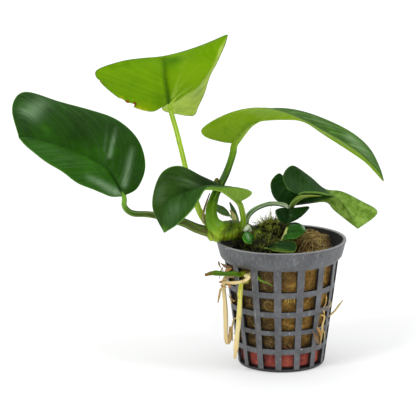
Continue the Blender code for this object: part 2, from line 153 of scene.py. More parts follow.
def softened(values, width):
    # a running mean along the first axis that keeps both ends in place
    reach = np.arange(-width, width + 1)
    index = np.arange(len(values))[:, None] + reach
    mirrored = np.where(index < 0, -index, index)
    mirrored = np.where(mirrored > len(values) - 1, 2 * (len(values) - 1) - mirrored, mirrored)
    mean = values[mirrored].mean(axis=1)
    room = np.minimum(np.arange(len(values)), np.arange(len(values))[::-1])
    keep = np.clip(room / width, 0, 1).reshape(-1, *[1] * (values.ndim - 1))
    return values + (mean - values) * keep


def unit(vectors):
    return vectors / np.maximum(np.linalg.norm(vectors, axis=-1, keepdims=True), 1e-12)


def wobble(first, second, seed, waves=7, fastest=9):
    # a smooth random field: a sum of sines of both parameters with seeded speeds and starts
    draws = np.random.default_rng(seed)
    speeds = draws.integers(1, fastest, (waves, 2))
    starts = draws.random((waves, 2)) * 2 * math.pi
    field = sum(np.sin(a * first + b * second + c) * np.cos(b * first - a * second + d) / (1 + 0.4 * (a + b))
                for (a, b), (c, d) in zip(speeds, starts))
    return field / 1.6


def makePiece(name, points, faceSets, skins, replaced=(), numbers=None, parts=None):
    # points in millimetres and sets of faces of one size each, put in a mesh as whole arrays
    points = np.asarray(points, float).reshape(-1, 3)
    data = bpy.data.meshes.new(name)
    data.vertices.add(len(points))
    data.vertices.foreach_set("co", (points * mm).ravel())
    sizes = np.concatenate([np.full(len(f), f.shape[1]) for f in faceSets])
    corners = np.concatenate([f.ravel() for f in faceSets]).astype(np.int32)
    data.loops.add(len(corners))
    data.loops.foreach_set("vertex_index", corners)
    data.polygons.add(len(sizes))
    data.polygons.foreach_set("loop_start", (np.cumsum(sizes) - sizes).astype(np.int32))
    data.polygons.foreach_set("use_smooth", np.ones(len(sizes), bool))
    if parts is not None:
        data.polygons.foreach_set("material_index", np.concatenate(parts).astype(np.int32))
    for key, values in (numbers or {}).items():
        layer = data.attributes.new(key, "FLOAT", "POINT")
        layer.data.foreach_set("value", np.asarray(values, np.float32).ravel())
    data.update(calc_edges=True)
    for skin in skins:
        data.materials.append(skin)
    piece = bpy.data.objects.new(name, data)
    bpy.context.scene.collection.objects.link(piece)
    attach(piece, "root")
    if replaced:
        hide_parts(*replaced)
    return piece


def ringFaces(count, around, strands=1, capped=True):
    # quads from each ring to the next, closed round, and one face over each end of every strand
    ring, turn = np.meshgrid(np.arange(count - 1), np.arange(around), indexing="ij")
    low = ring * around + turn
    lowNext = ring * around + (turn + 1) % around
    quads = np.stack([low, lowNext, lowNext + around, low + around], -1).reshape(-1, 4)
    start = (np.arange(strands) * count * around)[:, None, None]
    faces = [(quads[None] + start).reshape(-1, 4)]
    if capped:
        first = np.arange(around)[::-1]
        last = np.arange(around) + (count - 1) * around
        faces += [first[None] + start[:, 0], last[None] + start[:, 0]]
    return faces


def turnedPoints(reach, rise, turn):
    # a turned surface: each point is its distance from the upright axis at its angle, and its height
    return np.stack(np.broadcast_arrays(reach * np.cos(turn), reach * np.sin(turn), rise), -1)


def roundRings(paths, side, up, radii, around):
    # circles square to a path: the path's point plus a turn of side and up, times the radius there
    turn = fullTurn(around)[:, None]
    wheel = side[..., None, :] * np.cos(turn) + up[..., None, :] * np.sin(turn)
    return paths[..., None, :] + wheel * radii[..., None]


def tubeRings(path, radii, around):
    # the two directions square to the path start from the direction that the path uses least
    ahead = unit(np.gradient(path, axis=-2))
    spread = np.linalg.svd(ahead.reshape(-1, 3), full_matrices=False)[2][-1]
    side = unit(np.cross(ahead, spread))
    return roundRings(path, side, np.cross(ahead, side), radii, around)


def makeTube(name, points, build, skin, replaced, ribs):
    # a round stem: rings along a smooth path, with ribs as a cosine round it and a slow waver along it
    count, around = build["rings"], build["around"]
    route = smoothPath(points, count)
    along = np.linspace(0, 1, count)
    wave = 1 + build["waver"] * (np.sin(along * 23 + len(name)) + 0.6 * np.sin(along * 57 + 2))
    radii = (route[:, 3] * wave)[:, None] * (1 + build["ribDepth"] * np.cos(ribs * fullTurn(around)))[None]
    numbers = {"along": np.repeat(along, around), "around": np.tile(fullTurn(around), count)}
    return makePiece(name, tubeRings(route[:, :3], radii, around), ringFaces(count, around), [skin],
                     replaced, numbers)


def titled(nodeName):
    # left_petiole becomes leftPetiole
    first, *rest = nodeName.split("_")
    return first + "".join(word.capitalize() for word in rest)


studio = {
    "place": (-30.6, -817.0, 248.6), "pitch": 77.45, "roll": -0.49, "lens": 173.1,  # camera
    "floorRadius": 5000, "floorRings": 4, "floorAround": 96, "floorColour": "d8d8d8", "floorGlow": 0.31,
    "horizon": 0.14, "zenith": 0.7,  # strength of the sky
    "lamps": (  # name, the way to the lamp, its spread, strength on a facing board, colour
        ("keyLamp", (-0.50, -0.48, 0.72), 15, 1.0, "fbfdff"),
        ("fillLamp", (0.74, -0.30, 0.60), 15, 0.65, "f4f8ff"),
        ("topLamp", (-0.05, 0.30, 0.95), 90, 1.1, "ffffff"),
    ),
}


def makeCamera():
    shot = bpy.data.cameras.new("camera")
    shot.lens = studio["lens"]
    shot.sensor_width = 36
    shot.clip_start = 0.01
    shot.clip_end = 30
    camera = bpy.data.objects.new("camera", shot)
    tilt = Matrix.Rotation(math.radians(studio["pitch"]), 4, "X")
    roll = Matrix.Rotation(math.radians(studio["roll"]), 4, "Z")
    camera.matrix_world = Matrix.Translation(Vector(studio["place"]) * mm) @ tilt @ roll
    bpy.context.scene.collection.objects.link(camera)
    bpy.context.scene.camera = camera


def makeFloor():
    # a flat disc: rings of growing radius round one middle face, just under the foot of the pot
    radii = np.geomspace(60, studio["floorRadius"], studio["floorRings"])
    turn = fullTurn(studio["floorAround"])
    points = turnedPoints(radii[:, None], cadBox[0][2] / mm - 0.02, turn)
    faces = [ringFaces(len(radii), len(turn), capped=False)[0][:, ::-1], np.arange(len(turn))[None]]
    skin, _ = newSkin("paintedBoard")  # matt white board
    finishSkin(skin, studio["floorColour"], Roughness=0.9, **{
        "Emission Color": "ffffff", "Emission Strength": studio["floorGlow"], "Specular IOR Level": 0.0})
    data = bpy.data.meshes.new("floor")
    data.from_pydata((points.reshape(-1, 3) * mm).tolist(), [], [f for s in faces for f in s.tolist()])
    data.materials.append(skin)
    floor = bpy.data.objects.new("floor", data)
    bpy.context.scene.collection.objects.link(floor)


def makeLight():
    world = bpy.data.worlds.new("studio")
    world.use_nodes = True
    tree = world.node_tree
    sky = tree.nodes["Background"].inputs
    sky["Color"].default_value = toLinear("ffffff")
    up = addNode(tree, "height", addNode(tree, "place", read="Generated"))
    tree.links.new(addNode(tree, "climb", up, 0, 1, studio["horizon"], studio["zenith"]), sky["Strength"])
    bpy.context.scene.world = world
    for name, way, spread, strength, colour in studio["lamps"]:
        lamp = bpy.data.lights.new(name, "SUN")
        lamp.angle = math.radians(spread)
        lamp.energy = strength
        lamp.color = toLinear(colour)[:3]
        holder = bpy.data.objects.new(name, lamp)
        holder.matrix_world = Vector(way).to_track_quat("Z", "Y").to_matrix().to_4x4()
        bpy.context.scene.collection.objects.link(holder)
    bpy.context.scene.view_settings.view_transform = "Standard"


makeCamera()
makeFloor()
makeLight()
print("camera, floor and light made")

potMake = {
    "columns": 15, "firstColumn": -65.8, "openingHalf": 8.1,  # degrees
    "cell": 4, "innerParts": (-1, -0.93, 0, 0.93),  # grid steps in an opening and over a bar
    "rows": ((1.3, 8.0), (10.4, 16.5), (18.5, 24.5), (26.9, 33.0), (35.5, 45.0)),
    "wallBottom": 18.2, "flare": 7.0 / 53.4,  # radius gained for each millimetre of height
    "foot": ((7.0, 0.0), (10.2, 0.0), (13.5, 0.0), (15.2, 0.0), (17.2, 0.0), (17.95, 0.25), (18.3, 0.9)),
    "collar": ((25.35, 46.3), (25.75, 46.9), (26.1, 48.2), (26.65, 50.4), (27.05, 52.0), (27.4, 52.7),
               (27.3, 53.4)),
    "wall": 1.2, "bevel": 0.3, "bevelFrom": 40, "slotStep": 3, "bandDrop": 0.22,
    "greys": ((0.3, "47484b"), (0.52, "5e5f62"), (0.75, "76777a")), "grain": "8a8a8d", "lime": "bcbcba",
    # of these colours the nearly black one is painted shade, for the inside of the pot and its foot
    "rubbed": "a0a0a2", "scored": "3c3d3f", "damp": "161617", "lip": "b8b8b8",
    "mottleSize": 7.14, "grainSize": 1.11, "scratch": (1.11, 1.11, 11.1), "limeSize": 2.38,
    "limePatch": 13.3,
    # heights below which the inside and the foot are painted in shade, and how strongly
    "shadeInside": (0.0526, 0.0531, 0.9), "shadeAtFoot": (0.0009, 0.0016, 0.85),  # metres, metres, amount
}


def wallRadius(z):
    # a cone: the wall's radius grows evenly with the height
    return potMake["wallBottom"] + potMake["flare"] * z


def moulded(name, shadeBelow):
    # Injection-moulded grey polypropylene: satin and faintly mottled, with scratches up the wall and dried
    # lime spots. Below a given height it is painted nearly black, painted shade inside the pot and at its
    # foot, and the top of the lip is painted lighter, a painted highlight. The mould leaves a grain of a
    # tenth of a millimetre, which is drawn ten times coarser to show.
    make = potMake
    skin, add = newSkin(name)
    where = add("place")
    cloudy = add("noise", where, size=make["mottleSize"], Detail=6, Roughness=0.65)
    grain = add("noise", where, size=make["grainSize"], Detail=3)
    drawn = add("stretch", where, Scale=[1 / (width * mm) for width in make["scratch"]])
    scratches = add("noise", drawn, Scale=1.0, Detail=3)
    spots = add("spots", where, size=make["limeSize"], Randomness=1.0)
    rarely = add("noise", where, size=make["limePatch"], Detail=2)
    lime = add("times", add("climb", spots, 0.22, 0.14), add("climb", rarely, 0.59, 0.69))
    height = add("height", where)
    base = painted(add, add("ramp", cloudy, stops=make["greys"]),
                   ((grain, 0.45, 0.75, 0, 0.35), make["grain"]),
                   ((scratches, 0.6, 0.75, 0, 0.5), make["rubbed"]),
                   ((scratches, 0.4, 0.28, 0, 0.5), make["scored"]),
                   ((lime,), make["lime"]),
                   # painted shade: nearly black below a given height, inside the pot and at its foot
                   ((height, *shadeBelow, 0.0), make["damp"]),
                   # a painted highlight: the top of the lip is painted lighter
                   ((height, 0.0528, 0.0534, 0, 0.55), make["lip"]))
    return finishSkin(skin, base, add("relief", Strength=0.35, Distance=0.12 * mm, Height=grain), IOR=1.49,
                      Roughness=add("climb", cloudy, 0.3, 0.7, 0.42, 0.62))


def makePot():
    # A turned grid of angle by height: faces inside the openings are left out, then the sheet is thickened
    make = potMake
    cell, half, step = make["cell"], make["openingHalf"], 360 / make["columns"]
    inside = half * np.array(make["innerParts"])
    bar = np.linspace(half, step - half, cell, endpoint=False)
    centres = make["firstColumn"] + step * np.arange(make["columns"])
    angles = np.radians((centres[:, None] + np.concatenate([inside, bar])).ravel())
    profile = list(make["foot"])
    isOpen = [False] * len(profile)
    for low, high in make["rows"]:
        profile += [(wallRadius(z), z) for z in np.linspace(low, high, 4)]
        isOpen += [True] * 3 + [False]
    profile += make["collar"]
    isOpen += [False] * len(make["collar"])
    radius, height = np.array(profile).T
    place = np.arange(len(angles)) % (2 * cell)
    inColumn = (place > 0) & (place < cell)
    inWall = (height > make["rows"][0][1] - 0.1) & (height < make["rows"][-1][0] + 0.1)
    radius = radius[:, None] - make["bandDrop"] * (inWall[:, None] & inColumn[None])
    points = turnedPoints(radius, height[:, None], angles - math.pi / 2)  # the first angle faces the front
    levels, turns = len(profile) - 1, len(angles)
    faces = ringFaces(levels + 1, turns, capped=False)[0].reshape(levels, turns, 4)
    level, turn = np.meshgrid(np.arange(levels), np.arange(turns), indexing="ij")
    inOpening = np.array(isOpen[:-1])[:, None] & (turn % (2 * cell) < cell)
    inSlot = (level < 2) & ((turn // (2 * cell)) % make["slotStep"] != 0)
    # the second copy is painted nearly black below the rim as painted shade; the inner and cut faces take it
    skins = [moulded("mouldedPolypropylene", make["shadeAtFoot"]),
             moulded("shadedInsidePolypropylene", make["shadeInside"])]
    pot = makePiece("pot", points, [faces[~(inOpening | inSlot)], np.arange(turns)[::-1][None]], skins,
                    ["net_pot"])
    wall = pot.modifiers.new("wall", "SOLIDIFY")
    wall.thickness = make["wall"] * mm
    wall.offset = -1
    wall.use_even_offset = True
    wall.material_offset = 1
    wall.material_offset_rim = 1
    edge = pot.modifiers.new("edge", "BEVEL")
    edge.width = make["bevel"] * mm
    edge.segments = 2
    edge.limit_method = "ANGLE"
    edge.angle_limit = math.radians(make["bevelFrom"])
    even = pot.modifiers.new("even", "WEIGHTED_NORMAL")
    even.keep_sharp = True


makePot()
print("pot made")

clayMake = {
    "radius": 16.8, "bottom": 1.4, "top": 8.4, "tilt": 0.03, "round": 0.8, "rough": 0.25,
    "around": 160, "rings": 61, "seed": 5, "cloudSize": 4.76, "sandSize": 0.667,
    "reds": ((0.32, "7c2f2b"), (0.5, "a8483a"), (0.72, "c4614c")), "sand": "d08468", "damp": "140a08",
}
woolMake = {
    "bottom": 9.2, "top": 46.6, "clearance": 2.2, "edge": 22.0, "around": 240, "rings": 170,
    "sideStops": (10.2, 20, 30, 38), "shoulder": ((21.8, -1.0), (20.8, -0.7), (17, -0.3)),
    "flatTo": (11, 5, 0.3), "lumpSeeds": (11, 12), "threadSeed": 21,
    "lump": (12.6, 5.5), "lumpHalf": (10.2, 12.4), "lumpHeight": 6.4,
    "strands": 1900, "topStrands": 1100, "steps": 8, "sides": 3, "length": (4, 13), "topLength": (3, 10),
    "sideHeights": (10, 43.5), "topReach": 20, "radius": (0.04, 0.085), "topRadius": (0.06, 0.15),
    "browns": ((0.3, "3c2c12"), (0.45, "5e4a24"), (0.58, "7e6634"), (0.75, "a88c48")),
    "threads": ((0.0, "2c1e0a"), (0.4, "5f4620"), (0.72, "98783c"), (1.0, "e4c87c")),
    # the last of these colours is painted shade, for the bottom of the plug deep in the pot
    "stain": "33250f", "golden": "bc903c", "goldenThread": "d0a048", "raised": "8c6c30", "wet": "1f1509",
    "cloudSize": 10.5, "swirlSize": 3.03, "goldenAt": (0.016, -0.017, 0.028),  # metres
}


def firedClay():
    # Pressed and fired red clay: matt and porous, blotched by water, painted nearly black at the foot as
    # shade. Its grit of a quarter of a millimetre is drawn coarser to show.
    make = clayMake
    skin, add = newSkin("firedClay")
    where = add("place")
    cloudy = add("noise", where, size=make["cloudSize"], Detail=5)
    sand = add("noise", where, size=make["sandSize"], Detail=2)
    base = painted(add, add("ramp", cloudy, stops=make["reds"]),
                   ((sand, 0.55, 0.75, 0, 0.5), make["sand"]),
                   # painted shade: nearly black at the foot of the disc, for the dark gap under it
                   ((add("height", where), 0.0019, 0.0028, 0.92, 0.0), make["damp"]))
    relief = add("relief", Strength=0.6, Distance=0.2 * mm, Height=sand)
    return finishSkin(skin, base, relief, Roughness=0.92)


def woolRise(x, y):
    # the lump on the plug: a plateau that falls off smoothly at the edge of an ellipse, broken by waves
    (midX, midY), (halfX, halfY) = woolMake["lump"], woolMake["lumpHalf"]
    out = np.hypot((x - midX) / halfX, (y - midY) / halfY) + 0.06 * np.sin(x * 1.1) * np.cos(y * 0.9)
    fall = np.clip((1.08 - out) / 0.42, 0, 1)
    crumble = np.sin(x * 1.7 + 1) * np.sin(y * 1.4) + 0.7 * np.sin(x * 2.9 + y * 1.3) * np.sin(y * 3.1 - x)
    return woolMake["lumpHeight"] * fall**2 * (3 - 2 * fall) * (1 + 0.13 * crumble)


def mineralWool(name, isThread):
    # Spun stone fibre stained by water: tan, straw and brown with no shine; the plug is painted darker low
    # in the pot as painted shade, and the threads on its top paler as painted light. Its fibres are a
    # hundredth of a millimetre thick, so the threads stand for bundles of them.
    make = woolMake
    skin, add = newSkin(name)
    where = add("place")
    cloudy = add("noise", where, size=make["cloudSize"], Detail=4, Distortion=0.8)
    swirl = add("noise", where, size=make["swirlSize"], Detail=6, Distortion=2.5)
    height = add("height", where)
    away = add("distance", where, make["goldenAt"])
    golden = add("times", add("climb", away, 0.026, 0.013), add("climb", swirl, 0.3, 0.6, 0.35, 0.95))
    if isThread:
        # painted light: threads on the top of the plug are drawn paler
        paintedLightOnTop = add("climb", height, 0.0455, 0.0485, 0, 0.4)
        own = add("plus", add("number", attribute_name="tone"), paintedLightOnTop)
        base = add("ramp", own, stops=make["threads"])
        base = add("mix", add("times", golden, 0.6), base, make["goldenThread"])
    else:
        raised = add("times", add("climb", height, 0.046, 0.0485), add("climb", swirl, 0.46, 0.6, 0.0, 0.9))
        base = painted(add, add("ramp", swirl, stops=make["browns"]),
                       ((cloudy, 0.48, 0.3, 0, 0.7), make["stain"]),
                       ((golden,), make["golden"]),
                       ((raised,), make["raised"]),
                       # painted shade: darker towards the bottom of the plug, deep in the pot
                       ((height, 0.015, 0.010, 0, 0.6), make["wet"]))
    relief = add("relief", Strength=0.8, Distance=0.5 * mm, Height=swirl)
    return finishSkin(skin, base, relief, Roughness=0.85)


def makeClay():
    # a turned disc with rounded corners, its surface pushed in and out by a few tenths
    low, high, radius, corner = (clayMake[k] for k in ("bottom", "top", "radius", "round"))
    profile = [(0.2, low), (radius * 0.5, low), (radius - corner, low), (radius - 0.2, low + 0.3),
               (radius, low + corner), (radius + 0.15, (low + high) / 2), (radius + 0.3, high - corner),
               (radius + 0.1, high - 0.3), (radius - corner, high), (radius * 0.5, high), (0.2, high)]
    turn = fullTurn(clayMake["around"])
    path = smoothPath(profile, clayMake["rings"])
    place = np.linspace(0, 6, len(path))[:, None]
    push = clayMake["rough"] / radius * wobble(turn[None] * 3, place * 3, clayMake["seed"])
    reach = path[:, :1] * (1 + push)
    points = turnedPoints(reach, path[:, 1:] + clayMake["tilt"] * reach * np.cos(turn), turn)
    makePiece("clayDisc", points, ringFaces(len(path), len(turn)), [firedClay()], ["clay_disc"])


def makeWool():
    # a turned plug, wider upwards like the pot, with a lumpy shoulder and a deeply uneven top
    make = woolMake
    low, high = make["bottom"], make["top"]
    side = [(wallRadius(z) - make["clearance"], z) for z in make["sideStops"]]
    top = [(reach, high + drop) for reach, drop in make["shoulder"]]
    top += [(reach, high) for reach in make["flatTo"]]
    path = smoothPath([(0.3, low), (side[0][0] - 1.5, low), *side, *top], make["rings"])
    turn = fullTurn(make["around"])
    place = np.linspace(0, 12, len(path))[:, None]
    coarse, fine = make["lumpSeeds"]
    lumps = wobble(turn * 2, place * 2, coarse, 9) * 0.9 + wobble(turn * 9, place * 9, fine, 9) * 0.4
    onTop = np.clip((place - 8.2) / 2, 0, 1)
    fade = np.clip(path[:, :1] / 4, 0, 1)
    reach = path[:, :1] + np.minimum(lumps, 0.5) * (1 - onTop) * fade
    calm = np.clip((make["edge"] - path[:, :1]) / 5, 0.1, 1)  # an even edge closes the gap at the wall
    rise = path[:, 1:] + onTop * fade * calm * (1.3 * lumps - 0.6)
    rise = rise + onTop * woolRise(reach * np.cos(turn), reach * np.sin(turn))
    makePiece("woolPlug", turnedPoints(reach, rise, turn), ringFaces(len(path), len(turn)),
              [mineralWool("mineralWool", False)], ["wool_plug"])


def makeWoolStrands():
    # threads that lie on the plug: each walks from its own start with its own heading and bend,
    # on the side as angle and height, on the top as two flat directions
    make = woolMake
    draws = np.random.default_rng(make["threadSeed"])
    strands, steps, around = make["strands"], make["steps"], make["sides"]
    heading = draws.random(strands) * math.pi
    bend = draws.normal(0, 1.6, strands)
    length = draws.uniform(*make["length"], strands)
    run = np.linspace(-0.5, 0.5, steps)
    way = heading[:, None] + bend[:, None] * run[None]
    height = draws.uniform(*make["sideHeights"], strands)[:, None] + np.sin(way) * length[:, None] * run
    height = np.clip(height, make["bottom"] + 0.4, make["top"] - 2)
    radius = wallRadius(height) - make["clearance"] + draws.uniform(0.05, 0.6, strands)[:, None]
    angle = draws.random(strands)[:, None] * 2 * math.pi + np.cos(way) * length[:, None] * run / radius
    sidePath = turnedPoints(radius, height, angle)
    strands = make["topStrands"]
    heading = draws.random(strands) * math.pi
    length = draws.uniform(*make["topLength"], strands)
    way = heading[:, None] + draws.normal(0, 2.0, strands)[:, None] * run
    centre = np.sqrt(draws.random(strands)) * make["topReach"]
    angle = draws.random(strands) * 2 * math.pi
    x = (centre * np.cos(angle))[:, None] + np.cos(way) * length[:, None] * run
    y = (centre * np.sin(angle))[:, None] + np.sin(way) * length[:, None] * run
    z = make["top"] + draws.uniform(-1.2, 0.9, strands)[:, None] + 0.8 * np.sin(way * 3)
    atMiddle = woolRise(x[:, steps // 2], y[:, steps // 2])[:, None]  # threads span the slope of the lump
    z = z - np.clip(np.hypot(x, y) - 17, 0, 9) * 0.35 + 0.5 * woolRise(x, y) + 0.5 * atMiddle
    paths = np.concatenate([sidePath, np.stack([x, y, z], -1)])
    thick = np.concatenate([draws.uniform(*make["radius"], len(sidePath)),
                            draws.uniform(*make["topRadius"], strands)])
    ahead = unit(np.gradient(paths, axis=1))
    sideways = unit(np.cross(ahead, unit(paths * (1, 1, 0.3))))
    rings = roundRings(paths, sideways, np.cross(ahead, sideways), thick[:, None, None], around)
    tone = np.repeat(draws.beta(2.0, 2.2, len(paths)), steps * around)
    makePiece("woolStrands", rings, ringFaces(steps, around, len(paths)),
              [mineralWool("mineralWoolThread", True)], numbers={"tone": tone})


makeClay()
makeWool()
makeWoolStrands()
print("clay and wool made")
